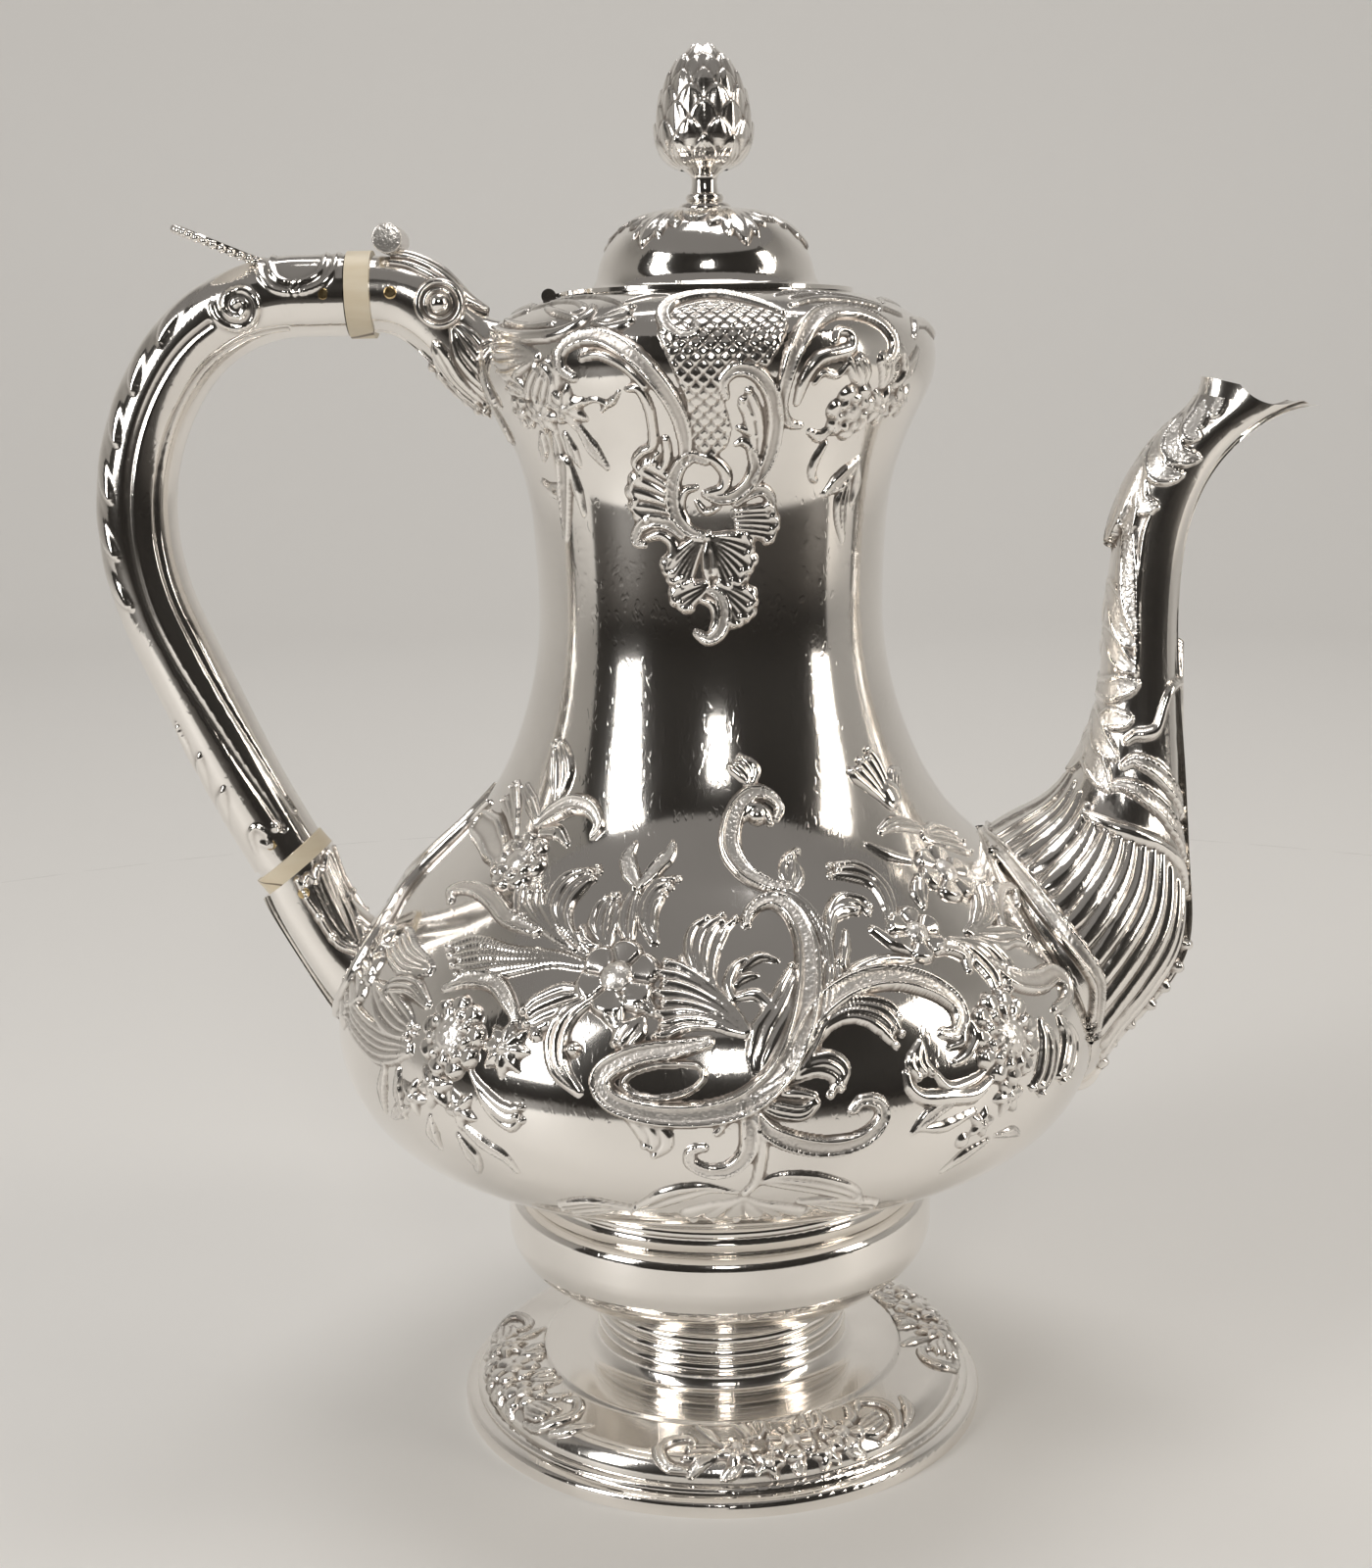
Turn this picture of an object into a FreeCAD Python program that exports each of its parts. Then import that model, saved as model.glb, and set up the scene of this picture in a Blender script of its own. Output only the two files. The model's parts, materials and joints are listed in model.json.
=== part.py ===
import FreeCAD, Part
import cmath
import math
import os

# Silver coffee pot on a pedestal foot, with a hinged lid, a cast spout and an insulated handle.
# Millimetres. Z is up, the spout points along +X, the handle along -X, the foot stands on Z = 0.

# Sheet and fits
SHEET = 0.8               # raised and spun sheet
SOLDER = 0.05             # gap of a soldered seat
SLIP = 0.15               # tenon in its bore
LID_GAP = 0.3             # lid clear of the mouth
PIN_SLACK = 0.04          # lid knuckle round the hinge pin
PIN_SEAT = 0.02           # fixed pins in their holes

# Foot and pedestal
FOOT_RADIUS = 58.0
RIM_WIDTH = 5.0
RIM_HEIGHT = 5.0
RIM_EDGE = 2.0            # upright edge of the rim
COVE_RADIUS = 39.5        # inner edge of the chased band
COVE_HEIGHT = 11.4
STEM_RADIUS = 27.0
STEM_FOOT = 15.0          # height where the foot dome ends
STEM_LENGTH = 9.5
STEM_BEAD = 1.0
STEM_WALL = 2.2
CUP_RADIUS = 47.0
CUP_WIDEST = 42.5
CUP_RIM_RADIUS = 44.8
CUP_RIM_HEIGHT = 50.0
CUP_LEDGE = 4.6           # flat width of the cup's top
SEAT_BEAD = 1.3

# Vessel
BASE_RADIUS = 41.0
BASE_HEIGHT = 57.4
BASE_RISE = 8.0           # slope in degrees where the flat base turns up
BELLY_RADIUS = 82.0
BELLY_HEIGHT = 89.5
FLANK_RADIUS = 55.4       # where the flank turns from hollow to round
FLANK_HEIGHT = 129.2
FLANK_SLOPE = 138.0
WAIST_RADIUS = 42.8       # where the flank runs into the neck
WAIST_HEIGHT = 147.5
WAIST_SLOPE = 113.0
NECK_RADIUS = 36.2
NECK_HEIGHT = 178.0
COLLAR_FOOT_RADIUS = 41.5
COLLAR_FOOT_DROP = 27.5   # below the mouth
COLLAR_FOOT_SLOPE = 66.0
COLLAR_RADIUS = 47.0
COLLAR_DROP = 12.5        # widest line below the mouth
RING_RADIUS = 34.0        # outside of the mouth ring
RING_FALL = 0.7           # outer edge below the mouth
RING_DEPTH = 4.2
MOUTH_RADIUS = 27.1
MOUTH_HEIGHT = 241.0
MOUTH_LAND = 3.5          # flat width that the lid covers

# Strainer
STRAINER_HOLE = 1.3
STRAINER_PITCH = 5.0
STRAINER_ROWS = 3         # rows each side of the middle
STRAINER_LIFT = 10.5      # above the widest part of the belly

# Spout stations, measured from the widest point of the belly:
# lower edge x and z, upper edge x and z, half width
SPOUT = [
    (-12.0, -17.5, -26.0, 36.0, 31.0),
    (1.8, -11.5, -18.0, 39.6, 32.0),
    (11.5, 0.0, -11.5, 43.2, 27.0),
    (19.4, 12.0, -6.5, 48.0, 20.5),
    (20.1, 28.5, -2.7, 55.5, 14.5),
    (18.8, 51.5, 0.2, 65.5, 10.2),
    (17.1, 73.5, 1.4, 78.5, 8.2),
    (17.0, 90.5, 2.2, 91.5, 7.4),
    (20.0, 107.5, 4.9, 108.5, 7.2),
    (27.5, 119.3, 11.5, 121.5, 7.0),
    (44.5, 127.3, 20.6, 133.7, 6.2),
]
SPOUT_WALL = 1.2
SCOOP_RADIUS = 10.3       # hollow of the pouring lip
SCOOP_X = 35.5
SCOOP_Z = 138.0

# Handle
GRIP_RADIUS = 7.6
GRIP_WALL = 0.9
GRIP_LIFT = 1.6           # grip axis above the mouth
GRIP_STRAIGHT = 9.8
GRIP_REACH = 120.0
GRIP_REACH_HEIGHT = 198.0
GRIP_WAIST_X = -106.0
GRIP_WAIST_Z = 153.0
GRIP_WAIST_HEADING = 293.5
GRIP_END_HEADING = 298.0
BAND_RADIUS = 8.8
UPPER_BAND = 5.0          # thickness of the upper insulator
UPPER_BAND_OFF = 21.2     # clear of the collar's widest line
LOWER_BAND = 3.8
LOWER_BAND_OFF = 10.3     # beyond the belly's widest line
LOWER_BAND_LIFT = 35.5
LOWER_BAND_HEADING = 308.5
TENON_RADIUS = 5.4
TENON_LENGTH = 8.0
PIN_RADIUS = 0.9
PIN_HEAD_RADIUS = 1.3
PIN_HEAD = 0.6
PIN_SETBACK = 4.3         # pin from the face of its insulator
SOCKET_HALF = 7.9         # half width of both sockets at the insulators

# Socket stations, measured from the inner face of the insulator:
# lower edge x and z, upper edge x and z, half width
UPPER_SOCKET = [
    (0.0, -7.8, 0.0, 7.8, SOCKET_HALF),
    (6.7, -10.0, 7.7, 6.8, SOCKET_HALF),
    (11.7, -14.8, 14.2, 3.6, SOCKET_HALF),
    (16.7, -20.1, 19.7, -1.8, 7.5),
    (23.2, -25.6, 26.2, -5.6, 7.0),
]
LOWER_SOCKET = [
    (-9.1, -1.0, 5.9, 9.5, 7.7),
    (-7.7, -6.5, 7.1, 3.5, SOCKET_HALF),
    (-1.6, -18.5, 11.4, -8.0, 8.5),
    (4.6, -29.0, 16.4, -13.0, 9.5),
    (15.9, -40.0, 27.9, -18.0, 10.0),
]
VOLUTE_X = 14.2           # volute centre, from the inner face of the insulator
VOLUTE_Z = -2.4
VOLUTE_RADIUS = 5.2
VOLUTE_HALF = 9.0
VOLUTE_BOSS = 1.9
VOLUTE_BOSS_HALF = 10.2
LEAF_HALF = 5.5           # half width of the leaf over the upper socket
LEAF_DEPTH = 4.5
LEAF_BEND_X = 15.0        # where the leaf turns down, from the inner face of the insulator
LEAF_BEND_Z = 5.0
LEAF_BEND_HEADING = 324.0
LEAF_END_X = 22.2
LEAF_END_Z = -3.6
LEAF_END_HEADING = 300.0
CURL_RADIUS = 2.2
CURL_X = 3.8
CURL_Z = 10.8
THUMB_LENGTH = 19.6
THUMB_HALF = 7.0
THUMB_THICK = 1.6
THUMB_RISE = 22.5         # slope in degrees
THUMB_ROOT_X = -90.0
THUMB_SINK = 2.1          # root sunk into the line of the grip

# Lid
FLANGE_RADIUS = 30.2
DOME_FOOT_RADIUS = 25.6
DOME_RADIUS = 22.3
DOME_WAIST = 3.6          # height of the dome's foot curve
DOME_HEIGHT = 16.0        # flange to crown
CROWN_RADIUS = 7.0
PLUG_RADIUS = 26.3
PLUG_WALL = 1.0
PLUG_DEPTH = 5.0

# Hinge
KNUCKLE_RADIUS = 1.5
HINGE_PIN_RADIUS = 0.7
HINGE_OFF = 1.7           # axis beyond the flange
LID_KNUCKLE = 6.0
BODY_KNUCKLE = 5.0
KNUCKLE_GAP = 0.3
NOTCH_GAP = 0.3

# Finial
WASHER_RADIUS = 5.6
WASHER_HEIGHT = 1.6
STEM_BEAD_RADIUS = 3.9
FINIAL_NECK_RADIUS = 2.6
FINIAL_STEM_HEIGHT = 6.7
BUD_SEAT_RADIUS = 4.8
BUD_RADIUS = 9.4
BUD_WIDEST = 6.2          # above the bud's seat
BUD_HEIGHT = 23.6
STUD_RADIUS = 1.6
NUT_RADIUS = 4.0
NUT_HEIGHT = 2.4
STUD_END = 1.5            # stud past the nut

UP = FreeCAD.Vector(0, 0, 1)
ACROSS = FreeCAD.Vector(0, 1, 0)
ORIGIN = FreeCAD.Vector(0, 0, 0)
FAR = 400.0               # longer than the pot, for cutting blocks


# Points and headings in the XZ plane are complex numbers: x + z j.
def heading(degrees):
    return cmath.rect(1.0, math.radians(degrees))


def at(point, y=0.0):
    return FreeCAD.Vector(point.real, y, point.imag)


def dot(a, b):
    return (a.conjugate() * b).real


class Bend:
    """A circular arc that leaves start along a heading and arrives at end."""

    def __init__(self, start, direction, end):
        self.start = start
        self.direction = direction
        self.end = end
        self.half_turn = cmath.phase((end - start) / direction)

    def end_direction(self):
        return self.direction * cmath.rect(1.0, 2 * self.half_turn)

    def shifted(self, distance):
        first = self.start + 1j * self.direction * distance
        last = self.end + 1j * self.end_direction() * distance
        return Bend(first, self.direction, last)

    def edge(self):
        if abs(self.half_turn) < 1e-6:
            return Part.makeLine(at(self.start), at(self.end))
        chord = self.end - self.start
        middle = (self.start + self.end) / 2 - 0.5j * chord * math.tan(self.half_turn / 2)
        return Part.Arc(at(self.start), at(middle), at(self.end)).toShape()


def bends(*stations):
    """Pairs of tangent arcs through stations, each a point and the heading there in degrees."""
    found = []
    for (p0, h0), (p1, h1) in zip(stations, stations[1:]):
        t0 = heading(h0)
        t1 = heading(h1)
        gap = p1 - p0
        spread = 1 - dot(t0, t1)
        along = dot(gap, t0 + t1)
        if spread < 1e-9:
            reach = dot(gap, gap) / (2 * along)
        else:
            reach = (math.sqrt(along ** 2 + 2 * spread * dot(gap, gap)) - along) / (2 * spread)
        joint = (p0 + p1 + reach * (t0 - t1)) / 2
        first = Bend(p0, t0, joint)
        found += [first, Bend(joint, first.end_direction(), p1)]
    return found


def lines(*points):
    return [Part.makeLine(at(a), at(b)) for a, b in zip(points, points[1:])]


def spun(edges):
    """A ring turned about Z from the edges of one closed section."""
    face = Part.Face(Part.Wire(Part.__sortEdges__(edges)))
    return face.revolve(ORIGIN, UP, 360)


def spun_outline(*points):
    return spun(lines(*points, points[0]))


def spun_skin(curve, thickness):
    """A spun sheet with the curve as its outer face."""
    inner = [bend.shifted(thickness) for bend in curve]
    edges = [bend.edge() for bend in curve + inner]
    edges += lines(curve[0].start, inner[0].start)
    edges += lines(curve[-1].end, inner[-1].end)
    return spun(edges)


def spun_full(curve, swell=0.0):
    """Everything between the Z axis and a curve that climbs, grown by swell."""
    outer = [bend.shifted(-swell) for bend in curve]
    foot = outer[0].start
    top = outer[-1].end
    edges = [bend.edge() for bend in outer]
    edges += lines(top, 1j * top.imag, 1j * foot.imag, foot)
    return spun(edges)


def rod(radius, centre, half_length):
    """A cylinder along Y, centred on the XZ plane."""
    return Part.makeCylinder(radius, 2 * half_length, at(centre, -half_length), ACROSS)


def bar(radius, start, direction, length):
    """A cylinder that lies in the XZ plane."""
    return Part.makeCylinder(radius, length, at(start), at(direction))


def beyond(point, direction):
    """A block that fills the space ahead of a plane through point."""
    block = Part.makeBox(FAR, FAR, FAR, FreeCAD.Vector(-FAR / 2, -FAR / 2, 0))
    turn = FreeCAD.Rotation(UP, at(direction))
    block.Placement = FreeCAD.Placement(at(point), turn)
    return block


def near_side():
    """The half of space with negative y."""
    return Part.makeBox(2 * FAR, FAR, 2 * FAR, FreeCAD.Vector(-FAR, -FAR, -FAR))


def far_copy(shape):
    return shape.mirror(ORIGIN, ACROSS)


def oval(lower, upper, half_width, wall=0.0, steps=8):
    """A closed oval section square to the XZ plane, drawn in by wall: one curve for each side."""
    middle = (lower + upper) / 2
    arm = (upper - lower) / 2
    arm = arm * (1 - wall / abs(arm))
    halves = []
    for sign in (1, -1):
        points = []
        for step in range(steps + 1):
            turn = math.pi * step / steps
            points.append(at(middle - sign * arm * math.cos(turn), sign * (half_width - wall) * math.sin(turn)))
        curve = Part.BSplineCurve()
        curve.interpolate(Points=points, InitialTangent=ACROSS * sign, FinalTangent=ACROSS * -sign)
        halves.append(curve.toShape())
    return Part.Wire(halves)


def ovals(origin, stations, wall=0.0):
    """Ovals for a loft, from stations measured from one origin."""
    found = []
    for x_low, z_low, x_high, z_high, half in stations:
        lower = origin + complex(x_low, z_low)
        upper = origin + complex(x_high, z_high)
        found.append(oval(lower, upper, half, wall))
    return found


def lofted(sections):
    return Part.makeLoft(sections, True, False)


def largest(shape):
    return max(shape.Solids, key=lambda solid: solid.Volume)


# Shared curves and points
COLLAR_FOOT = MOUTH_HEIGHT - COLLAR_FOOT_DROP
COLLAR_WIDEST = MOUTH_HEIGHT - COLLAR_DROP
RING_EDGE = MOUTH_HEIGHT - RING_FALL
BODY_CURVE = bends(
    (complex(BASE_RADIUS, BASE_HEIGHT), BASE_RISE),
    (complex(BELLY_RADIUS, BELLY_HEIGHT), 90),
    (complex(FLANK_RADIUS, FLANK_HEIGHT), FLANK_SLOPE),
    (complex(WAIST_RADIUS, WAIST_HEIGHT), WAIST_SLOPE),
    (complex(NECK_RADIUS, NECK_HEIGHT), 90),
    (complex(COLLAR_FOOT_RADIUS, COLLAR_FOOT), COLLAR_FOOT_SLOPE),
)
COLLAR_CURVE = bends(
    (complex(COLLAR_FOOT_RADIUS, COLLAR_FOOT), COLLAR_FOOT_SLOPE),
    (complex(COLLAR_RADIUS, COLLAR_WIDEST), 90),
    (complex(RING_RADIUS, RING_EDGE), 165),
)
FLANGE_BOTTOM = MOUTH_HEIGHT + LID_GAP
FLANGE_TOP = FLANGE_BOTTOM + SHEET
CROWN_HEIGHT = FLANGE_TOP + DOME_HEIGHT
HINGE = complex(-(FLANGE_RADIUS + HINGE_OFF), FLANGE_BOTTOM)
NOTCH_RADIUS = KNUCKLE_RADIUS + NOTCH_GAP
HINGE_HALF = LID_KNUCKLE / 2 + KNUCKLE_GAP + BODY_KNUCKLE

GRIP_HEIGHT = MOUTH_HEIGHT + GRIP_LIFT
UPPER_INNER = complex(-(COLLAR_RADIUS + UPPER_BAND_OFF), GRIP_HEIGHT)
UPPER_OUTER = UPPER_INNER - UPPER_BAND
LOWER_OUTER = complex(-(BELLY_RADIUS + LOWER_BAND_OFF), BELLY_HEIGHT + LOWER_BAND_LIFT)
LOWER_INNER = LOWER_OUTER + LOWER_BAND * heading(LOWER_BAND_HEADING)
GRIP_END = heading(GRIP_END_HEADING)
GRIP_CURVE = bends(
    (UPPER_OUTER, 180),
    (UPPER_OUTER - GRIP_STRAIGHT, 180),
    (complex(-GRIP_REACH, GRIP_REACH_HEIGHT), 270),
    (complex(GRIP_WAIST_X, GRIP_WAIST_Z), GRIP_WAIST_HEADING),
    (LOWER_OUTER - GRIP_STRAIGHT * GRIP_END, GRIP_END_HEADING),
    (LOWER_OUTER + TENON_RADIUS * GRIP_END, GRIP_END_HEADING),
)
UPPER_PINS = [UPPER_OUTER - PIN_SETBACK, UPPER_INNER + PIN_SETBACK]
LOWER_PINS = [LOWER_OUTER - PIN_SETBACK * GRIP_END, LOWER_INNER + PIN_SETBACK * GRIP_END]


def foot_rim():
    inner = FOOT_RADIUS - RIM_WIDTH
    step = FOOT_RADIUS - RIM_WIDTH / 2
    bead = bends(
        (complex(FOOT_RADIUS, RIM_EDGE), 90),
        (complex(step, RIM_HEIGHT * 0.72), 175),
    )
    fillet = bends(
        (complex(step, RIM_HEIGHT * 0.8), 90),
        (complex(inner + SHEET, RIM_HEIGHT), 180),
    )
    edges = [bend.edge() for bend in bead + fillet]
    edges += lines(bead[-1].end, fillet[0].start)
    edges += lines(fillet[-1].end, complex(inner, RIM_HEIGHT), complex(inner, 0),
                   complex(FOOT_RADIUS, 0), bead[0].start)
    return spun(edges)


def foot_dome():
    band_edge = complex(COVE_RADIUS + 1.5, COVE_HEIGHT - SHEET)
    curve = bends(
        (complex(FOOT_RADIUS - RIM_WIDTH + SHEET, RIM_HEIGHT), 90),
        (band_edge, 172),
        (complex(COVE_RADIUS, COVE_HEIGHT), 172),
        (complex(STEM_RADIUS, STEM_FOOT), 90),
    )
    return spun_skin(curve, SHEET)


def stem_knop():
    """A ring with three turned beads."""
    inner = STEM_RADIUS - STEM_WALL
    bead = STEM_LENGTH / 3
    edges = []
    for step in range(3):
        low = complex(STEM_RADIUS, STEM_FOOT + step * bead)
        high = low + 1j * bead
        middle = (low + high) / 2 + STEM_BEAD
        edges.append(Part.Arc(at(low), at(middle), at(high)).toShape())
    top = STEM_FOOT + STEM_LENGTH
    edges += lines(complex(STEM_RADIUS, top), complex(inner, top), complex(inner, STEM_FOOT),
                   complex(STEM_RADIUS, STEM_FOOT))
    return spun(edges)


def cup_curve():
    ledge = complex(CUP_RIM_RADIUS, CUP_RIM_HEIGHT)
    return bends(
        (complex(STEM_RADIUS, STEM_FOOT + STEM_LENGTH), 90),
        (complex((STEM_RADIUS + CUP_RADIUS) / 2, (STEM_FOOT + STEM_LENGTH + CUP_WIDEST) / 2 - 4), 30),
        (complex(CUP_RADIUS, CUP_WIDEST), 90),
        (ledge - 0.8, 180),
        (ledge - CUP_LEDGE, 180),
    )


def pedestal_cup():
    return spun_skin(cup_curve(), SHEET)


def body_seat_ring():
    """Cove and bead between the cup and the underside of the belly."""
    outer = CUP_RIM_RADIUS - 1.0
    waist = complex(BASE_RADIUS + 0.8, (CUP_RIM_HEIGHT + BASE_HEIGHT) / 2 - 1.2)
    inner = outer - CUP_LEDGE
    top = BASE_HEIGHT + SEAT_BEAD
    cove = bends((complex(outer, CUP_RIM_HEIGHT), 160), (waist, 90))
    bead_top = waist + 2j * SEAT_BEAD
    bead = Part.Arc(at(waist), at(waist + SEAT_BEAD * (1 + 1j)), at(bead_top)).toShape()
    edges = [bend.edge() for bend in cove] + [bead]
    edges += lines(bead_top, complex(bead_top.real + SEAT_BEAD, top), complex(inner, top),
                   complex(inner, CUP_RIM_HEIGHT), complex(outer, CUP_RIM_HEIGHT))
    return largest(spun(edges).cut(spun_full(BODY_CURVE)))


def strainer_holes():
    middle = BELLY_HEIGHT + STRAINER_LIFT
    holes = []
    for row in range(-STRAINER_ROWS, STRAINER_ROWS + 1):
        in_row = 2 * STRAINER_ROWS + 1 - abs(row)
        for place in range(in_row):
            y = (place - (in_row - 1) / 2) * STRAINER_PITCH
            z = middle + row * STRAINER_PITCH * math.sqrt(3) / 2
            start = FreeCAD.Vector(BELLY_RADIUS / 2, y, z)
            holes.append(Part.makeCylinder(STRAINER_HOLE, BELLY_RADIUS, start, FreeCAD.Vector(1, 0, 0)))
    return holes


def body_shell():
    inner = [bend.shifted(SHEET) for bend in BODY_CURVE]
    edges = [bend.edge() for bend in BODY_CURVE + inner]
    edges += lines(BODY_CURVE[-1].end, inner[-1].end)
    outer_foot = BODY_CURVE[0].start
    inner_foot = inner[0].start
    edges += lines(outer_foot, 1j * outer_foot.imag, 1j * inner_foot.imag, inner_foot)
    return spun(edges).cut(strainer_holes())


def neck_collar():
    return spun_skin(COLLAR_CURVE, SHEET)


def mouth_ring():
    """The ring that the lid rests on, notched for the hinge."""
    bottom = MOUTH_HEIGHT - RING_DEPTH
    ring = spun_outline(
        complex(MOUTH_RADIUS, bottom),
        complex(RING_RADIUS, bottom),
        complex(RING_RADIUS, RING_EDGE),
        complex(MOUTH_RADIUS + MOUTH_LAND, MOUTH_HEIGHT),
        complex(MOUTH_RADIUS, MOUTH_HEIGHT),
    )
    ring = ring.cut(neck_collar())
    return largest(ring.cut(rod(NOTCH_RADIUS, HINGE, HINGE_HALF + NOTCH_GAP)))


def hinge_body_knuckles():
    """Two barrels with feet that stand in the notch of the mouth ring."""
    barrels = []
    foot_depth = NOTCH_RADIUS + SOLDER
    notch = rod(NOTCH_RADIUS, HINGE, HINGE_HALF + NOTCH_GAP)
    for sign in (-1, 1):
        middle = sign * (HINGE_HALF - BODY_KNUCKLE / 2)
        start = at(HINGE, middle - BODY_KNUCKLE / 2)
        barrel = Part.makeCylinder(KNUCKLE_RADIUS, BODY_KNUCKLE, start, ACROSS)
        corner = at(HINGE - KNUCKLE_RADIUS / 2 - 1j * foot_depth, middle - BODY_KNUCKLE / 2)
        foot = Part.makeBox(KNUCKLE_RADIUS, BODY_KNUCKLE, foot_depth, corner)
        barrels.append(barrel.fuse(foot.common(notch)))
    bore = rod(HINGE_PIN_RADIUS + PIN_SEAT, HINGE, FAR)
    return Part.makeCompound([largest(barrel.cut(bore).removeSplitter()) for barrel in barrels])


def hinge_lid_knuckle():
    """One barrel with a tab that butts against the lid flange."""
    barrel = rod(KNUCKLE_RADIUS, HINGE, LID_KNUCKLE / 2)
    corner = at(HINGE, -LID_KNUCKLE / 2)
    tab = Part.makeBox(HINGE_OFF + MOUTH_LAND, LID_KNUCKLE, SHEET, corner)
    flange = Part.makeCylinder(FLANGE_RADIUS + SOLDER, FAR, ORIGIN, UP)
    knuckle = barrel.fuse(tab.cut(flange)).removeSplitter()
    return largest(knuckle.cut(rod(HINGE_PIN_RADIUS + PIN_SLACK, HINGE, FAR)))


def hinge_pin():
    return rod(HINGE_PIN_RADIUS, HINGE, HINGE_HALF)


def lid_dome():
    curve = bends(
        (complex(FLANGE_RADIUS, FLANGE_TOP), 180),
        (complex(DOME_FOOT_RADIUS, FLANGE_TOP), 180),
        (complex(DOME_RADIUS, FLANGE_TOP + DOME_WAIST), 100),
        (complex(CROWN_RADIUS, CROWN_HEIGHT), 180),
        (complex(STUD_RADIUS + SOLDER, CROWN_HEIGHT), 180),
    )
    return spun_skin(curve, SHEET)


def lid_plug():
    """The ring under the flange that drops into the mouth."""
    return spun_outline(
        complex(PLUG_RADIUS - PLUG_WALL, FLANGE_BOTTOM - PLUG_DEPTH),
        complex(PLUG_RADIUS, FLANGE_BOTTOM - PLUG_DEPTH),
        complex(PLUG_RADIUS, FLANGE_BOTTOM),
        complex(PLUG_RADIUS - PLUG_WALL, FLANGE_BOTTOM),
    )


def finial_washer():
    top = CROWN_HEIGHT + WASHER_HEIGHT
    round_edge = bends(
        (complex(WASHER_RADIUS, CROWN_HEIGHT), 90),
        (complex(STEM_BEAD_RADIUS, top), 180),
    )
    edges = [bend.edge() for bend in round_edge]
    hole = STUD_RADIUS + SOLDER
    edges += lines(complex(STEM_BEAD_RADIUS, top), complex(hole, top), complex(hole, CROWN_HEIGHT),
                   complex(WASHER_RADIUS, CROWN_HEIGHT))
    return spun(edges)


def finial_stem():
    """Spool with a bead at its foot and a stud that passes through the crown."""
    foot = CROWN_HEIGHT + WASHER_HEIGHT
    seat = foot + FINIAL_STEM_HEIGHT
    stud_end = CROWN_HEIGHT - SHEET - NUT_HEIGHT - STUD_END
    bead_top = foot + (STEM_BEAD_RADIUS - FINIAL_NECK_RADIUS) * 1.4
    neck = complex(FINIAL_NECK_RADIUS, (bead_top + seat) / 2)
    low = complex(FINIAL_NECK_RADIUS + 0.4, bead_top)
    bead = Part.Arc(at(complex(low.real, foot)), at(complex(STEM_BEAD_RADIUS, (foot + bead_top) / 2)), at(low))
    spool = bends((low, 110), (neck, 90), (complex(BUD_SEAT_RADIUS, seat), 30))
    edges = [bead.toShape()] + [bend.edge() for bend in spool]
    edges += lines(complex(BUD_SEAT_RADIUS, seat), 1j * seat, 1j * stud_end, complex(STUD_RADIUS, stud_end),
                   complex(STUD_RADIUS, foot), complex(low.real, foot))
    return spun(edges)


def finial_bud():
    seat = CROWN_HEIGHT + WASHER_HEIGHT + FINIAL_STEM_HEIGHT
    tip = complex(BUD_RADIUS / 10, seat + BUD_HEIGHT)
    curve = bends(
        (complex(BUD_SEAT_RADIUS, seat), 15),
        (complex(BUD_RADIUS, seat + BUD_WIDEST), 90),
        (tip, 150),
    )
    return spun_full(curve)


def finial_nut():
    bottom = CROWN_HEIGHT - SHEET - NUT_HEIGHT
    corners = [cmath.rect(NUT_RADIUS, math.radians(60 * k)) for k in range(7)]
    outline = Part.makePolygon([FreeCAD.Vector(c.real, c.imag, bottom) for c in corners])
    block = Part.Face(outline).extrude(UP * NUT_HEIGHT)
    return block.cut(Part.makeCylinder(STUD_RADIUS + PIN_SEAT, FAR, ORIGIN, UP))


def spout():
    widest = complex(BELLY_RADIUS, BELLY_HEIGHT)
    tube = lofted(ovals(widest, SPOUT)).cut(lofted(ovals(widest, SPOUT, SPOUT_WALL)))
    tube = tube.cut(rod(SCOOP_RADIUS, widest + complex(SCOOP_X, SCOOP_Z), FAR))
    return largest(tube.cut(spun_full(BODY_CURVE, SOLDER)))


def spout_near_half():
    return largest(spout().common(near_side()))


def swept(curve, radius):
    path = Part.Wire([bend.edge() for bend in curve])
    circle = Part.makeCircle(radius, at(curve[0].start), at(curve[0].direction))
    return path.makePipeShell([Part.Wire(circle)], True, False)


def grip_outside(swell=0.0):
    return swept(GRIP_CURVE, GRIP_RADIUS + swell)


def handle_near_half():
    tube = grip_outside().cut(swept(GRIP_CURVE, GRIP_RADIUS - GRIP_WALL))
    tube = tube.cut(beyond(LOWER_OUTER, heading(LOWER_BAND_HEADING)))
    for pin in (UPPER_PINS[0], LOWER_PINS[0]):
        tube = tube.cut(rod(PIN_RADIUS + PIN_SEAT, pin, FAR))
    return largest(tube.common(near_side()))


def thumb_leaf():
    """A pointed oval plate that rises from the top of the grip."""
    outline = []
    for step in range(12):
        turn = 2 * math.pi * step / 12
        along = THUMB_LENGTH / 2 * (1 - math.cos(turn))
        width = THUMB_HALF * math.sin(turn) * (0.72 + 0.28 * math.sin(turn) ** 2)
        outline.append(FreeCAD.Vector(-along, width, 0))
    curve = Part.BSplineCurve()
    curve.interpolate(outline, PeriodicFlag=True)
    plate = Part.Face(Part.Wire(curve.toShape())).extrude(UP * THUMB_THICK)
    plate.rotate(ORIGIN, ACROSS, THUMB_RISE)
    plate.translate(FreeCAD.Vector(THUMB_ROOT_X, 0, GRIP_HEIGHT + GRIP_RADIUS - THUMB_SINK))
    return largest(plate.cut(grip_outside(SOLDER)))


def upper_insulator():
    band = bar(BAND_RADIUS, UPPER_OUTER, 1, UPPER_BAND)
    tenon = bar(TENON_RADIUS, UPPER_OUTER - TENON_LENGTH, 1, 2 * TENON_LENGTH + UPPER_BAND)
    return drilled(band.fuse(tenon), UPPER_PINS)


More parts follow.
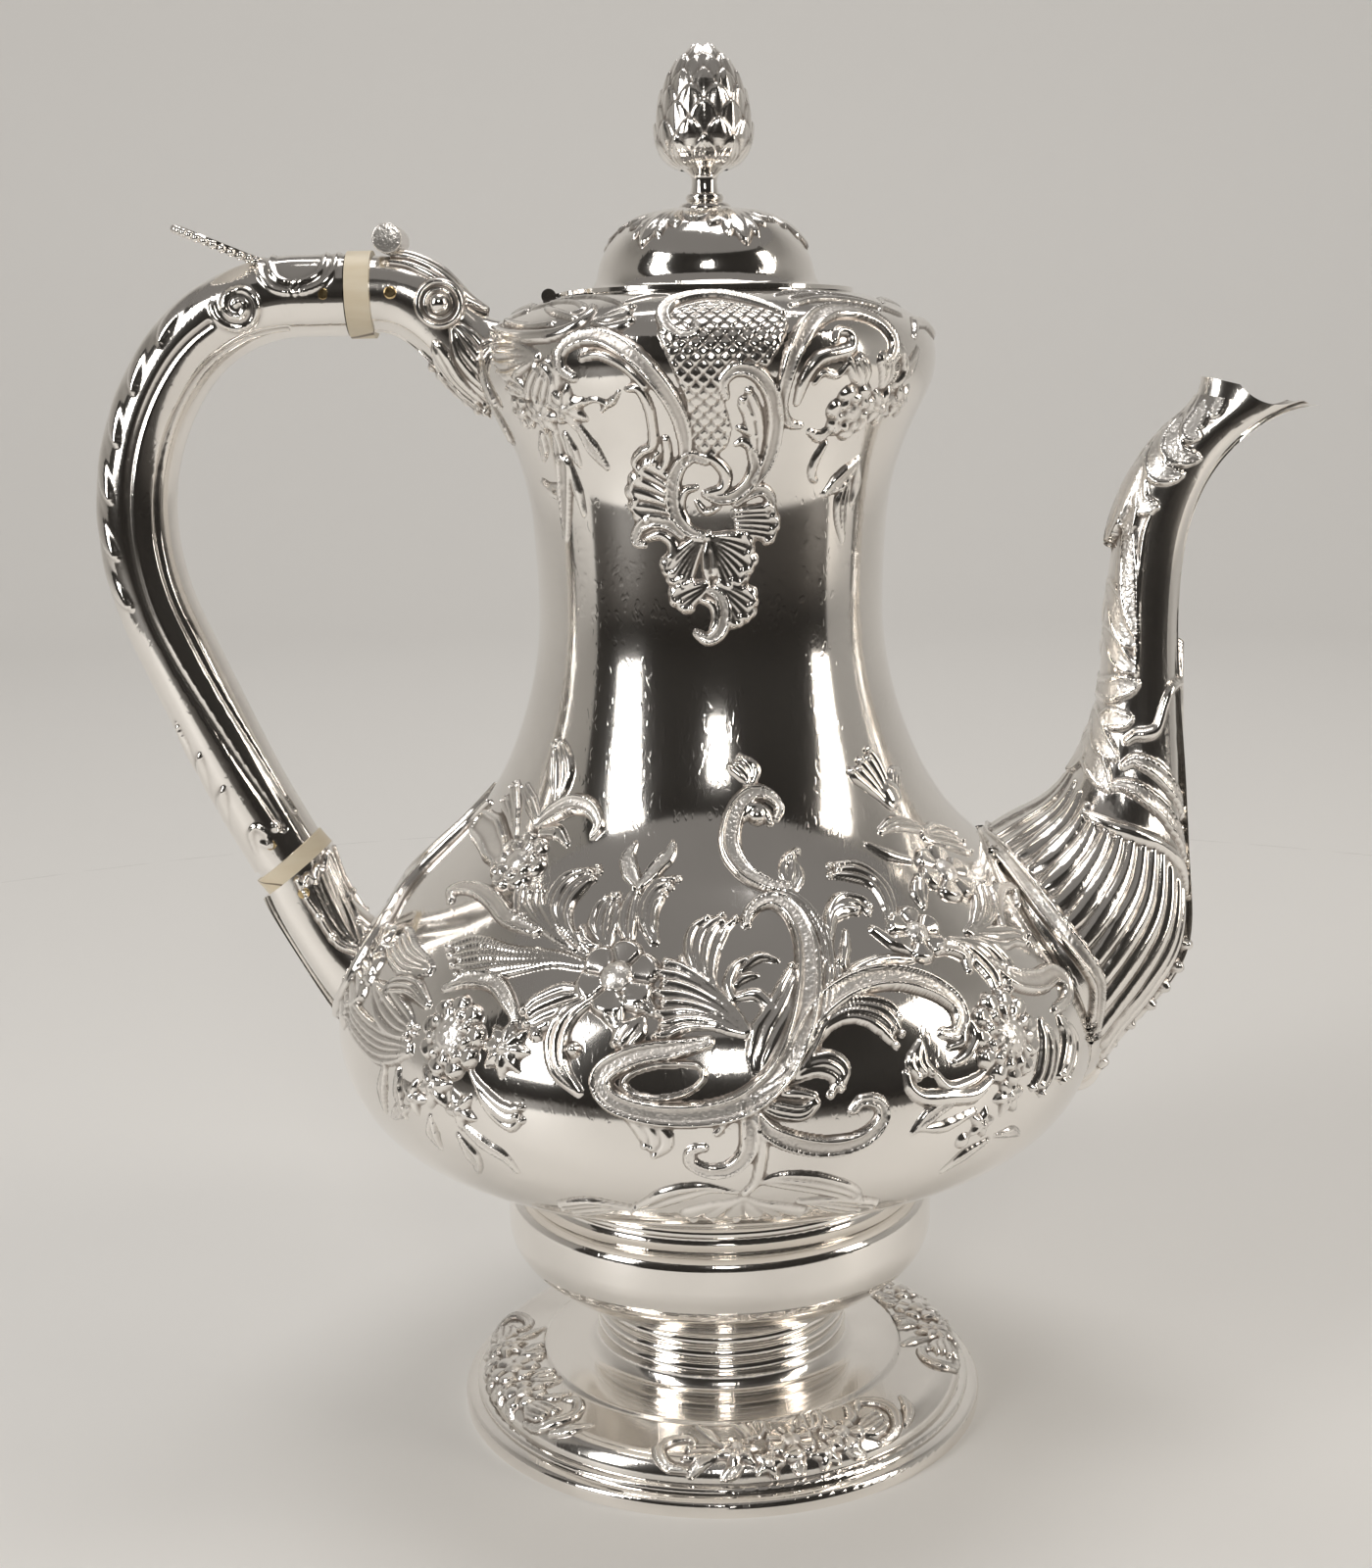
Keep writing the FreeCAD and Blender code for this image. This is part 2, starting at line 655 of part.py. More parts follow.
def lower_insulator():
    band = bar(BAND_RADIUS, LOWER_OUTER, heading(LOWER_BAND_HEADING), LOWER_BAND)
    start = LOWER_OUTER - TENON_LENGTH * GRIP_END
    tenon = bar(TENON_RADIUS, start, GRIP_END, 2 * TENON_LENGTH + LOWER_BAND)
    return drilled(band.fuse(tenon), LOWER_PINS)


def drilled(shape, pins):
    for pin in pins:
        shape = shape.cut(rod(PIN_RADIUS + PIN_SEAT, pin, FAR))
    return shape


def insulator_pins():
    pins = []
    for centre, half in zip(UPPER_PINS + LOWER_PINS, (GRIP_RADIUS, SOCKET_HALF) * 2):
        seat = half + SOLDER
        pin = rod(PIN_RADIUS, centre, seat + PIN_HEAD / 2)
        for sign in (-1, 1):
            head = Part.makeCylinder(PIN_HEAD_RADIUS, PIN_HEAD, at(centre, sign * seat), ACROSS * sign)
            rim = [edge for edge in head.Edges if abs(edge.CenterOfMass.y) > seat + PIN_HEAD / 2]
            pin = pin.fuse(head.makeFillet(PIN_HEAD * 0.6, rim[:1]))
        pins.append(largest(pin.removeSplitter()))
    return Part.makeCompound(pins)


def upper_socket_block():
    """The upper socket before it is fitted: a curved arm with a volute on each side."""
    volute = UPPER_INNER + complex(VOLUTE_X, VOLUTE_Z)
    discs = [rod(VOLUTE_RADIUS, volute, VOLUTE_HALF), rod(VOLUTE_BOSS, volute, VOLUTE_BOSS_HALF)]
    return lofted(ovals(UPPER_INNER, UPPER_SOCKET)).fuse(discs)


def vessel_block():
    """The outside of the body and collar as one block, grown by the solder gap."""
    return spun_full(BODY_CURVE, SOLDER).fuse(spun_full(COLLAR_CURVE, SOLDER))


def upper_socket():
    socket = upper_socket_block().cut(vessel_block())
    socket = socket.cut(bar(TENON_RADIUS + SLIP, UPPER_INNER - 1, 1, TENON_LENGTH + SLIP + 1))
    return largest(drilled(socket, UPPER_PINS[1:]))


def upper_socket_leaf():
    """The leaf that lies over the socket and rolls up at its free end."""
    curl = UPPER_INNER + complex(CURL_X, CURL_Z)
    curve = bends(
        (curl - 0.8 * CURL_RADIUS * 1j, 0),
        (UPPER_INNER + complex(LEAF_BEND_X, LEAF_BEND_Z), LEAF_BEND_HEADING),
        (UPPER_INNER + complex(LEAF_END_X, LEAF_END_Z), LEAF_END_HEADING),
    )
    under = [bend.shifted(-LEAF_DEPTH) for bend in curve]
    edges = [bend.edge() for bend in curve + under]
    edges += lines(curve[0].start, under[0].start)
    edges += lines(curve[-1].end, under[-1].end)
    face = Part.Face(Part.Wire(Part.__sortEdges__(edges)))
    face.translate(ACROSS * -LEAF_HALF)
    leaf = face.extrude(ACROSS * 2 * LEAF_HALF).fuse(rod(CURL_RADIUS, curl, LEAF_HALF))
    return largest(leaf.cut([upper_socket_block(), vessel_block()]))


def lower_socket():
    socket = lofted(ovals(LOWER_INNER, LOWER_SOCKET))
    socket = socket.cut(beyond(LOWER_INNER, -heading(LOWER_BAND_HEADING)))
    socket = socket.cut(spun_full(BODY_CURVE, SOLDER))
    bore = bar(TENON_RADIUS + SLIP, LOWER_OUTER, GRIP_END, LOWER_BAND + TENON_LENGTH + SLIP)
    return largest(drilled(socket.cut(bore), LOWER_PINS[1:]))


SPOUT_NEAR = spout_near_half()
HANDLE_NEAR = handle_near_half()

NODES = {
    "foot_rim": foot_rim(),
    "foot_dome": foot_dome(),
    "stem_knop": stem_knop(),
    "pedestal_cup": pedestal_cup(),
    "body_seat_ring": body_seat_ring(),
    "body_shell": body_shell(),
    "neck_collar": neck_collar(),
    "mouth_ring": mouth_ring(),
    "spout_near_half": SPOUT_NEAR,
    "spout_far_half": far_copy(SPOUT_NEAR),
    "handle_near_half": HANDLE_NEAR,
    "handle_far_half": far_copy(HANDLE_NEAR),
    "thumb_leaf": thumb_leaf(),
    "upper_insulator": upper_insulator(),
    "lower_insulator": lower_insulator(),
    "insulator_pins": insulator_pins(),
    "upper_socket": upper_socket(),
    "upper_socket_leaf": upper_socket_leaf(),
    "lower_socket": lower_socket(),
    "hinge_body_knuckles": hinge_body_knuckles(),
    "hinge_lid_knuckle": hinge_lid_knuckle(),
    "hinge_pin": hinge_pin(),
    "lid_dome": lid_dome(),
    "lid_plug": lid_plug(),
    "finial_washer": finial_washer(),
    "finial_stem": finial_stem(),
    "finial_bud": finial_bud(),
    "finial_nut": finial_nut(),
}

os.makedirs("parts", exist_ok=True)
for name, shape in NODES.items():
    shape.exportStep("parts/%s.step" % name)
    print(name, shape.isValid(), len(shape.Solids), round(shape.Volume, 1))
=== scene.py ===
# %% [markdown]
# # A silver coffee pot
# The pot was built twice over: its bodies, hinge and sizes come from the CAD frame, and this
# script dresses that frame. The real pot was raised from sheet silver, and its flowers, leaves
# and scrolls were hammered out from inside and sharpened from outside. Most of the lesson is
# about that chased ornament: fine sheets are laid on the CAD surfaces and raised, stroke by stroke.

# %% Load the frame
import json
import math

import bpy
import numpy as np
from mathutils import Matrix, Vector

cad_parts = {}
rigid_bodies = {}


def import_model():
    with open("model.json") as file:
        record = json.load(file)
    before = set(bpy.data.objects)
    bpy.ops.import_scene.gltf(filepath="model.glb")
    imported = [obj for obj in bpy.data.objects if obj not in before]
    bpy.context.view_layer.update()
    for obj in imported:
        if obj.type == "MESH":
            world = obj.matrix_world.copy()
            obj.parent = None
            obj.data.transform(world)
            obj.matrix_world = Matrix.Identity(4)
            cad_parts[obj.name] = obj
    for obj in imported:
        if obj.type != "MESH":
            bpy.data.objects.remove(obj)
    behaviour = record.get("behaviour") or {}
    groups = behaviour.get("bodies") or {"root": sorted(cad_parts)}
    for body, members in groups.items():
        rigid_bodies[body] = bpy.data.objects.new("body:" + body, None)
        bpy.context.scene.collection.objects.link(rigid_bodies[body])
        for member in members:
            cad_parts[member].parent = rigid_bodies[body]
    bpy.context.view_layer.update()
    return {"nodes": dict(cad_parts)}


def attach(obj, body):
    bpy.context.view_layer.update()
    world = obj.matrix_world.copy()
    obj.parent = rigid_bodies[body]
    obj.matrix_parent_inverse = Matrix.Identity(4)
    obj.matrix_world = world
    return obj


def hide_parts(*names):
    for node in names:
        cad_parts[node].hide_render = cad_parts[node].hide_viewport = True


for leftover in list(bpy.data.objects):
    bpy.data.objects.remove(leftover)
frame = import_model()
nodes = frame["nodes"]
MM = 0.001

# %% [markdown]
# ## Camera
# The view was found from the ellipses of the foot, the collar and the lid. The eye stands a
# little above the collar and looks down, and the picture leans by a degree. A camera is
# turned about its own axes by multiplying two rotations: tilt first, then roll.

# %% Camera
EYE = (-0.0059, -0.4262, 0.2216)
TILT_DOWN = 10.98
LEAN = -1.0
LENS = 46.23

bpy.ops.object.select_all(action="DESELECT")
bpy.ops.object.camera_add(location=EYE)
camera = bpy.context.object
tilt = Matrix.Rotation(math.radians(90 - TILT_DOWN), 3, "X")
camera.rotation_euler = (tilt @ Matrix.Rotation(math.radians(LEAN), 3, "Z")).to_euler()
camera.data.lens = LENS
camera.data.clip_start = 0.01
bpy.context.scene.camera = camera
bpy.context.scene.view_settings.view_transform = "Standard"
print("camera at", tuple(camera.location))

# %% [markdown]
# ## Studio
# Polished silver shows its surroundings, so the studio is part of the look. A pale floor sweeps
# up into a round backdrop, spun from one short outline. The room behind the camera is dark, and
# soft lamps hang in it: silver looks like silver when it mirrors both light and dark. Floor,
# backdrop and room are stage, not part of the pot.

# %% Floor and wall
TABLE_RADIUS = 0.6
FLOOR_RADIUS = 1.5
SWEEP = 0.7
WALL_TOP = 2.4
STAGE_STEPS = 96


def plain_material(name, colour, roughness=0.6):
    material = bpy.data.materials.new(name)
    material.use_nodes = True
    shader = material.node_tree.nodes["Principled BSDF"]
    shader.inputs["Base Color"].default_value = (*colour, 1)
    shader.inputs["Roughness"].default_value = roughness
    return material


def select_only(piece):
    """Make one piece active, with nothing else selected."""
    bpy.ops.object.select_all(action="DESELECT")
    piece.select_set(True)
    bpy.context.view_layer.objects.active = piece


def spun(name, points, steps, angle, weld):
    """Spin a line of points round the upright axis, and weld points closer than the last value."""
    mesh = bpy.data.meshes.new(name)
    mesh.from_pydata(points, [(i, i + 1) for i in range(len(points) - 1)], [])
    piece = bpy.data.objects.new(name, mesh)
    bpy.context.collection.objects.link(piece)
    select_only(piece)
    bpy.ops.object.mode_set(mode="EDIT")
    bpy.ops.mesh.select_all(action="SELECT")
    bpy.ops.mesh.spin(steps=steps, angle=angle, center=(0, 0, 0), axis=(0, 0, 1))
    bpy.ops.mesh.select_all(action="SELECT")
    bpy.ops.mesh.remove_doubles(threshold=weld)
    bpy.ops.object.mode_set(mode="OBJECT")
    bpy.ops.object.shade_smooth()
    return piece


def spun_stage(name, outline, material, start=0, sweep=360):
    """A round stage from an outline of (radius, height) points, spun clockwise from a start angle."""
    way = math.cos(math.radians(start)), math.sin(math.radians(start))
    points = [(radius * way[0], radius * way[1], height) for radius, height in outline]
    stage = spun(name, points, STAGE_STEPS, math.radians(sweep), 1e-5)
    bpy.ops.object.mode_set(mode="EDIT")
    bpy.ops.mesh.normals_make_consistent(inside=True)
    bpy.ops.object.mode_set(mode="OBJECT")
    stage.data.materials.append(material)


turns = [math.radians(angle) for angle in range(0, 91, 6)]
sweep = [(FLOOR_RADIUS + SWEEP * math.sin(a), SWEEP * (1 - math.cos(a))) for a in turns]
wall = [(TABLE_RADIUS, 0)] + sweep + [(FLOOR_RADIUS + SWEEP, WALL_TOP)]
pale = plain_material("studio_pale", (0.80, 0.79, 0.77))
dark = plain_material("studio_dark", (0.06, 0.055, 0.05))
spun_stage("floor", [(0, 0), (0.3, 0), (TABLE_RADIUS, 0)], pale)
spun_stage("backdrop", wall, pale, 190, 200)
spun_stage("room", wall, dark, 350, 160)
print("stage pieces: floor, backdrop, room")

# %% Lamps and sky
LAMPS = {
    # name: (place, size across, size up, watts, colour)
    "window": ((-1.05, -0.75, 0.75), 0.4, 1.0, 9.0, (1.0, 0.98, 0.95)),
    "side": ((1.15, -0.35, 0.65), 0.3, 0.9, 5.0, (1.0, 0.94, 0.86)),
    "front": ((0.05, -1.25, 0.80), 0.22, 0.3, 3.0, (1.0, 0.97, 0.93)),
    "overhead": ((0.1, 0.2, 1.7), 0.7, 0.7, 5.0, (1.0, 0.98, 0.96)),
    "backdrop": ((0.0, 0.75, 1.9), 1.6, 0.5, 11.0, (1.0, 0.98, 0.96)),
}
AIM = {"backdrop": Vector((0, 2.1, 0.6))}
POT_MIDDLE = Vector((0, 0, 0.15))

for name, (place, across, up, watts, colour) in LAMPS.items():
    bpy.ops.object.light_add(type="AREA", location=place)
    lamp = bpy.context.object
    lamp.name = name
    lamp.data.shape = "RECTANGLE"
    lamp.data.size = across
    lamp.data.size_y = up
    lamp.data.energy = watts
    lamp.data.color = colour
    lamp.rotation_euler = (AIM.get(name, POT_MIDDLE) - Vector(place)).to_track_quat("-Z", "Y").to_euler()

world = bpy.data.worlds.new("studio_sky")
bpy.context.scene.world = world
world.use_nodes = True
sky = world.node_tree.nodes["Background"]
sky.inputs["Color"].default_value = (0.20, 0.19, 0.18, 1)
sky.inputs["Strength"].default_value = 1.0
print("lamps:", list(LAMPS))

# %% [markdown]
# ## Finishes
# Silver is one metal with many surfaces. Two shared effects are built once as node groups: fine
# polishing scratches, and a darkening of the silver: random patches of tarnish film, and painted
# shade with tarnish in the hollows of the chasing where no cloth reaches. The chased sheets carry a
# "hollow_shade_and_tarnish" and a "stipple" value at every point, so both effects follow the
# ornament; on plain pieces these values are nought.


# %% Shared effects
def new_group(name, inputs, outputs):
    group = bpy.data.node_groups.new(name, "ShaderNodeTree")
    for label, value in inputs.items():
        socket = group.interface.new_socket(label, in_out="INPUT", socket_type="NodeSocketFloat")
        socket.default_value = value
    for label in outputs:
        group.interface.new_socket(label, in_out="OUTPUT", socket_type="NodeSocketFloat")
    return group, group.nodes.new("NodeGroupInput"), group.nodes.new("NodeGroupOutput")


def feed(tree, socket, value):
    """Link another socket into this one, or set it to a number or a colour."""
    if isinstance(value, bpy.types.NodeSocket):
        tree.links.new(value, socket)
    else:
        socket.default_value = (*value, 1) if isinstance(value, tuple) else value


def math_node(tree, operation, first, second=None, clamp=False):
    node = tree.nodes.new("ShaderNodeMath")
    node.operation = operation
    node.use_clamp = clamp
    feed(tree, node.inputs[0], first)
    if second is not None:
        feed(tree, node.inputs[1], second)
    return node.outputs["Value"]


def ramp_node(tree, value, low, high):
    node = tree.nodes.new("ShaderNodeMapRange")
    node.interpolation_type = "SMOOTHSTEP"
    node.inputs["From Min"].default_value = low
    node.inputs["From Max"].default_value = high
    tree.links.new(value, node.inputs["Value"])
    return node.outputs["Result"]


def noise_node(tree, scale, detail=2.0, stretch=None, turn=(0, 0, 0)):
    place = tree.nodes.new("ShaderNodeTexCoord").outputs["Object"]
    if stretch:
        mapping = tree.nodes.new("ShaderNodeMapping")
        mapping.inputs["Scale"].default_value = stretch
        mapping.inputs["Rotation"].default_value = turn
        tree.links.new(place, mapping.inputs["Vector"])
        place = mapping.outputs["Vector"]
    noise = tree.nodes.new("ShaderNodeTexNoise")
    noise.inputs["Scale"].default_value = scale
    noise.inputs["Detail"].default_value = detail
    tree.links.new(place, noise.inputs["Vector"])
    return noise.outputs["Fac"]


def attribute_node(tree, name):
    node = tree.nodes.new("ShaderNodeAttribute")
    node.attribute_name = name
    return node.outputs["Fac"]


scratches, scratch_in, scratch_out = new_group("polishing_scratches", {"Amount": 1.0}, ["Height"])
height = None
for turn in ((0.3, 0.2, 0.5), (1.2, -0.6, 2.0), (-0.8, 1.1, 1.2)):
    streak = ramp_node(scratches, noise_node(scratches, 700, 1.0, (1, 0.06, 0.5), turn), 0.62, 0.70)
    height = streak if height is None else math_node(scratches, "ADD", height, streak)
height = math_node(scratches, "MULTIPLY", height, scratch_in.outputs["Amount"])
scratches.links.new(height, scratch_out.inputs["Height"])

# Painted shade and tarnish: random patches of tarnish film, plus the sheets' hollow value times Depth, which
# darkens the hollows of the chasing with painted shade as well as tarnish.
tarnish_and_shade, tarnish_and_shade_in, tarnish_and_shade_out = new_group("tarnish_and_shade_in_hollows", {"Depth": 1.0, "Film": 0.2}, ["Mask"])
patches = ramp_node(tarnish_and_shade, noise_node(tarnish_and_shade, 38, 5.0), 0.45, 0.75)
patches = math_node(tarnish_and_shade, "MULTIPLY", patches, tarnish_and_shade_in.outputs["Film"])
crevice = math_node(tarnish_and_shade, "MULTIPLY", attribute_node(tarnish_and_shade, "hollow_shade_and_tarnish"), tarnish_and_shade_in.outputs["Depth"])
tarnish_and_shade.links.new(math_node(tarnish_and_shade, "ADD", patches, crevice, clamp=True), tarnish_and_shade_out.inputs["Mask"])
print("effects:", scratches.name, tarnish_and_shade.name)

# %% Silver, ivory and brass
CLEAN_SILVER = (0.93, 0.90, 0.86)
# The dark silver of tarnish and of painted shade in the hollows.
TARNISHED_AND_SHADED_SILVER = (0.20, 0.16, 0.13)
SCRATCH_DEPTH = 0.00002
MATTING = 6.0


def mix_colour(tree, mask, clean, darker):
    """Two colours mixed by a mask; either may come from another node."""
    node = tree.nodes.new("ShaderNodeMix")
    node.data_type = "RGBA"
    feed(tree, node.inputs["A"], clean)
    feed(tree, node.inputs["B"], darker)
    feed(tree, node.inputs["Factor"], mask)
    return node.outputs["Result"]


def place_group(tree, group, **values):
    node = tree.nodes.new("ShaderNodeGroup")
    node.node_tree = group
    for label, value in values.items():
        node.inputs[label].default_value = value
    return node


def bumped(tree, shader, height_socket, distance):
    bump = tree.nodes.new("ShaderNodeBump")
    bump.inputs["Strength"].default_value = 1.0
    bump.inputs["Distance"].default_value = distance
    tree.links.new(height_socket, bump.inputs["Height"])
    tree.links.new(bump.outputs["Normal"], shader.inputs["Normal"])


def silver_material(name, polish, scratch, depth, film):
    material = plain_material(name, (0.9, 0.9, 0.9), polish)
    tree = material.node_tree
    shader = tree.nodes["Principled BSDF"]
    shader.inputs["Metallic"].default_value = 1.0
    # Painted shade and tarnish: this mask mixes the silver towards the dark colour in the hollows and in
    # patches of film.
    stain_and_shade = place_group(tree, tarnish_and_shade, Depth=depth, Film=film).outputs["Mask"]
    feed(tree, shader.inputs["Base Color"], mix_colour(tree, stain_and_shade, CLEAN_SILVER, TARNISHED_AND_SHADED_SILVER))
    haze = math_node(tree, "MULTIPLY", stain_and_shade, 0.28)
    dull = math_node(tree, "MULTIPLY", attribute_node(tree, "stipple"), 0.16)
    rough = math_node(tree, "ADD", math_node(tree, "ADD", haze, dull), polish)
    feed(tree, shader.inputs["Roughness"], rough)
    grain = place_group(tree, scratches, Amount=scratch).outputs["Height"]
    matting = math_node(tree, "MULTIPLY", noise_node(tree, 1500, 1.0), attribute_node(tree, "stipple"))
    relief = math_node(tree, "ADD", grain, math_node(tree, "MULTIPLY", matting, MATTING))
    bumped(tree, shader, relief, SCRATCH_DEPTH)
    return material


SILVER = silver_material("polished_silver", 0.09, 0.35, 0.5, 0.10)
CHASED = silver_material("chased_silver", 0.13, 0.30, 0.85, 0.16)

IVORY = plain_material("old_ivory", (0.80, 0.70, 0.52), 0.34)
tree = IVORY.node_tree
grain = noise_node(tree, 90, 4.0, (1, 1, 5))
veins = noise_node(tree, 55, 2.0, (0.5, 0.5, 1.2))
split = math_node(tree, "ABSOLUTE", math_node(tree, "SUBTRACT", veins, 0.5))
crack = math_node(tree, "SUBTRACT", 1.0, ramp_node(tree, split, 0.003, 0.014))
tone = mix_colour(tree, grain, (0.86, 0.79, 0.64), (0.70, 0.58, 0.40))
lined = mix_colour(tree, crack, tone, (0.20, 0.15, 0.10))
feed(tree, tree.nodes["Principled BSDF"].inputs["Base Color"], lined)

BRASS = plain_material("pin_brass", (0.78, 0.60, 0.32), 0.22)
tree = BRASS.node_tree
shader = tree.nodes["Principled BSDF"]
shader.inputs["Metallic"].default_value = 1.0
worn = ramp_node(tree, noise_node(tree, 900, 3.0), 0.4, 0.7)
feed(tree, shader.inputs["Base Color"], mix_colour(tree, worn, (0.80, 0.62, 0.34), (0.45, 0.32, 0.16)))

FINISHES = {"silver": SILVER, "chased_silver": CHASED, "ivory": IVORY, "pin_metal": BRASS}
for node in nodes.values():
    for index, slot in enumerate(node.data.materials):
        node.data.materials[index] = FINISHES[slot.name.split(".")[0]]
print("finishes:", [material.name for material in FINISHES.values()])

# %% [markdown]
# ## The outline of the vessel
# Body and collar are one sweep of arcs. Two arcs that share a tangent join each pair of stations,
# so the same stations as in the CAD source give the same surface here. Positions on the vessel
# are then two plain numbers: degrees round from the front, and millimetres up along the outline.


# %% Outline of tangent arcs
def tangent_arcs(stations, steps=48):
    """Points on pairs of arcs through stations of (radius, height, heading in degrees)."""
    part = np.linspace(0, 1, steps)[:-1]
    points = []
    for (r0, z0, h0), (r1, z1, h1) in zip(stations, stations[1:]):
        start, end = complex(r0, z0), complex(r1, z1)
        leave, arrive = np.exp(1j * np.radians(h0)), np.exp(1j * np.radians(h1))
        gap = end - start
        along = (gap * (leave + arrive).conjugate()).real
        spread = 2 * (1 - (leave * arrive.conjugate()).real)
        reach = abs(gap) ** 2
        if spread < 1e-9:
            arm = reach / (2 * along)
        else:
            arm = (math.sqrt(along**2 + spread * reach) - along) / spread
        middle = (start + arm * leave + end - arm * arrive) / 2
        tangent = leave
        for first, last in ((start, middle), (middle, end)):
            chord = last - first
            half_turn = np.angle(chord / tangent)
            grow = part if abs(half_turn) < 1e-9 else np.sin(part * half_turn) / np.sin(half_turn)
            points.extend(first + abs(chord) * grow * tangent * np.exp(1j * part * half_turn))
            tangent = tangent * np.exp(2j * half_turn)
    return np.array(points + [end])


def run_along(line):
    """How far along a line each of its points lies. Points are complex numbers, or rows."""
    steps = np.diff(line, axis=0)
    lengths = abs(steps) if steps.ndim == 1 else np.linalg.norm(steps, axis=1)
    return np.concatenate([[0], np.cumsum(lengths)])


class Turned:
    """A turned surface: degrees round from the front, millimetres along the outline."""

    def __init__(self, stations):
        self.outline = tangent_arcs(stations)
        self.along = run_along(self.outline)

    def __call__(self, degrees, along):
        radius = np.interp(along, self.along, self.outline.real)
        height = np.interp(along, self.along, self.outline.imag)
        turn = np.radians(degrees)
        return np.stack([radius * np.sin(turn), -radius * np.cos(turn), height], -1)


vessel = Turned([
    (41, 57.4, 8), (82, 89.5, 90), (55.4, 129.2, 138), (42.8, 147.5, 113), (36.2, 178, 90),
    (41.5, 213.5, 66), (47, 228.5, 90), (34, 240.3, 165), (30.6, 241.0, 172),
])
print("vessel outline length: %.1f mm" % vessel.along[-1])

# %% [markdown]
# ## The plain skin
# Mirror polish shows every facet of a mesh, and CAD surfaces are cut into long ones. So the plain
# metal of the vessel is spun again as a skin a few hundredths of a millimetre thick over the CAD
# wall, with even rows from the same outline. Its root under the spout stays open for the strainer.

# %% Plain skin of the vessel
SKIN_LIFT = 0.035
SKIN_ROW = 1.6
SKIN_TURNS = 240
SKIN_RANGE = (0.6, 234.5)
STRAINER = Vector((80, 0, 100))
STRAINER_REACH = 15


def cut_away(piece, mask):
    """Delete the points of a piece that a mask names."""
    bpy.context.view_layer.objects.active = piece
    bpy.ops.object.mode_set(mode="EDIT")
    bpy.ops.mesh.select_mode(type="VERT")
    bpy.ops.mesh.select_all(action="DESELECT")
    bpy.ops.object.mode_set(mode="OBJECT")
    piece.data.vertices.foreach_set("select", mask)
    bpy.ops.object.mode_set(mode="EDIT")
    bpy.ops.mesh.delete(type="VERT")
    bpy.ops.object.mode_set(mode="OBJECT")


rows = np.linspace(*SKIN_RANGE, int((SKIN_RANGE[1] - SKIN_RANGE[0]) / SKIN_ROW))
profile = vessel(np.zeros(len(rows)), rows)
slope = np.gradient(profile, axis=0)
outward = np.stack([0 * rows, -slope[:, 2], slope[:, 1]], -1)
outward /= np.linalg.norm(outward, axis=1, keepdims=True)
skin = spun("vessel_skin", (profile + SKIN_LIFT * outward) * MM, SKIN_TURNS, math.tau, 1e-6)
mesh = skin.data
cut_away(skin, [(vertex.co / MM - STRAINER).length < STRAINER_REACH for vertex in mesh.vertices])
middle_face = mesh.polygons[len(mesh.polygons) // 2]
if middle_face.normal.x * middle_face.center.x + middle_face.normal.y * middle_face.center.y < 0:
    mesh.flip_normals()
mesh.materials.append(SILVER)
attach(skin, "pot")
print("skin points:", len(mesh.vertices))

# %% [markdown]
# ## The chaser's tools
# A sheet starts as Blender's grid primitive and is wrapped on a surface. Each tool then raises it:
# a stroke is a ridge along a flowing line, a plume is a bundle of strokes between two edges (one
# acanthus leaf), a flower is a ring of petals round a matted eye, a star is one with pointed
# petals, and a shell is a fan of ribs. Where two marks cross the higher one wins, which leaves the
# crisp creases of real chasing. Displacing a grid like this gives one unbroken skin, which separate
# swept pieces laid on top would not.


# %% Sections and lines
def bead(q):
    """A round ridge. Every section goes from 0 in the middle of a mark to 1 at its edge."""
    return np.sqrt(np.clip(1 - q * q, 0, 1))


def gutter(q):
    """A matted band between two thin raised rims."""
    rim = np.clip((q - 0.48) / 0.22, 0, 1)
    return np.sqrt(np.clip((1 - q) / 0.18, 0, 1)) * (0.52 + 0.48 * rim * rim * (3 - 2 * rim))


def blade(q):
    """A leaf with a middle rib and a crisp edge."""
    return np.clip(1 - q**6, 0, 1) * (0.66 + 0.34 * abs(1 - 2 * q))


def ribbed(q):
    """A broad leaf folded into a middle rib and two side ribs."""
    return np.clip(1 - q**5, 0, 1) * (0.72 + 0.28 * np.cos(3 * np.pi * q))


def flowing(points, samples=16):
    """A smooth line through given points."""
    knots = np.array(points, float)
    if len(knots) == 2:
        return knots[0] + np.linspace(0, 1, samples)[:, None] * (knots[1] - knots[0])
    ends = np.vstack([2 * knots[0] - knots[1], knots, 2 * knots[-1] - knots[-2]])
    part = np.linspace(0, 1, samples, endpoint=False)[:, None]
    line = []
    for a, b, c, d in zip(ends, ends[1:], ends[2:], ends[3:]):
        square, cube = 2 * a - 5 * b + 4 * c - d, 3 * b - a - 3 * c + d
        line.append(0.5 * (2 * b + (c - a) * part + square * part**2 + cube * part**3))
    return np.vstack(line + [knots[-1:]])


def spread_evenly(line, count):
    """The same line with evenly spaced points."""
    run = run_along(line)
    even = np.linspace(0, run[-1], count)
    return np.stack([np.interp(even, run, line[:, axis]) for axis in range(2)], -1)


print("sections: bead, gutter, blade, ribbed")

# %% The sheet
LINE_STEP = 0.3
BROAD = 3.1
MATTED = 0.55
GRAIN = 0.09
DIP = 0.06
SHADE_AREA = 1.3
SHADE_GAIN = 8.0
LEAST_RELIEF = 0.6
EDGE_AREA = 1.4
EDGE_SLOPE = 0.45
EDGE_END = 0.015


def longest(rows):
    """Length of the longest of several rows of points."""
    return np.linalg.norm(np.diff(rows, axis=1), axis=2).sum(1).max()


def drawn_to(node, spot):
    """The nearest point of a CAD node, in millimetres."""
    return np.array(node.closest_point_on_mesh(Vector(spot) * MM)[1]) / MM


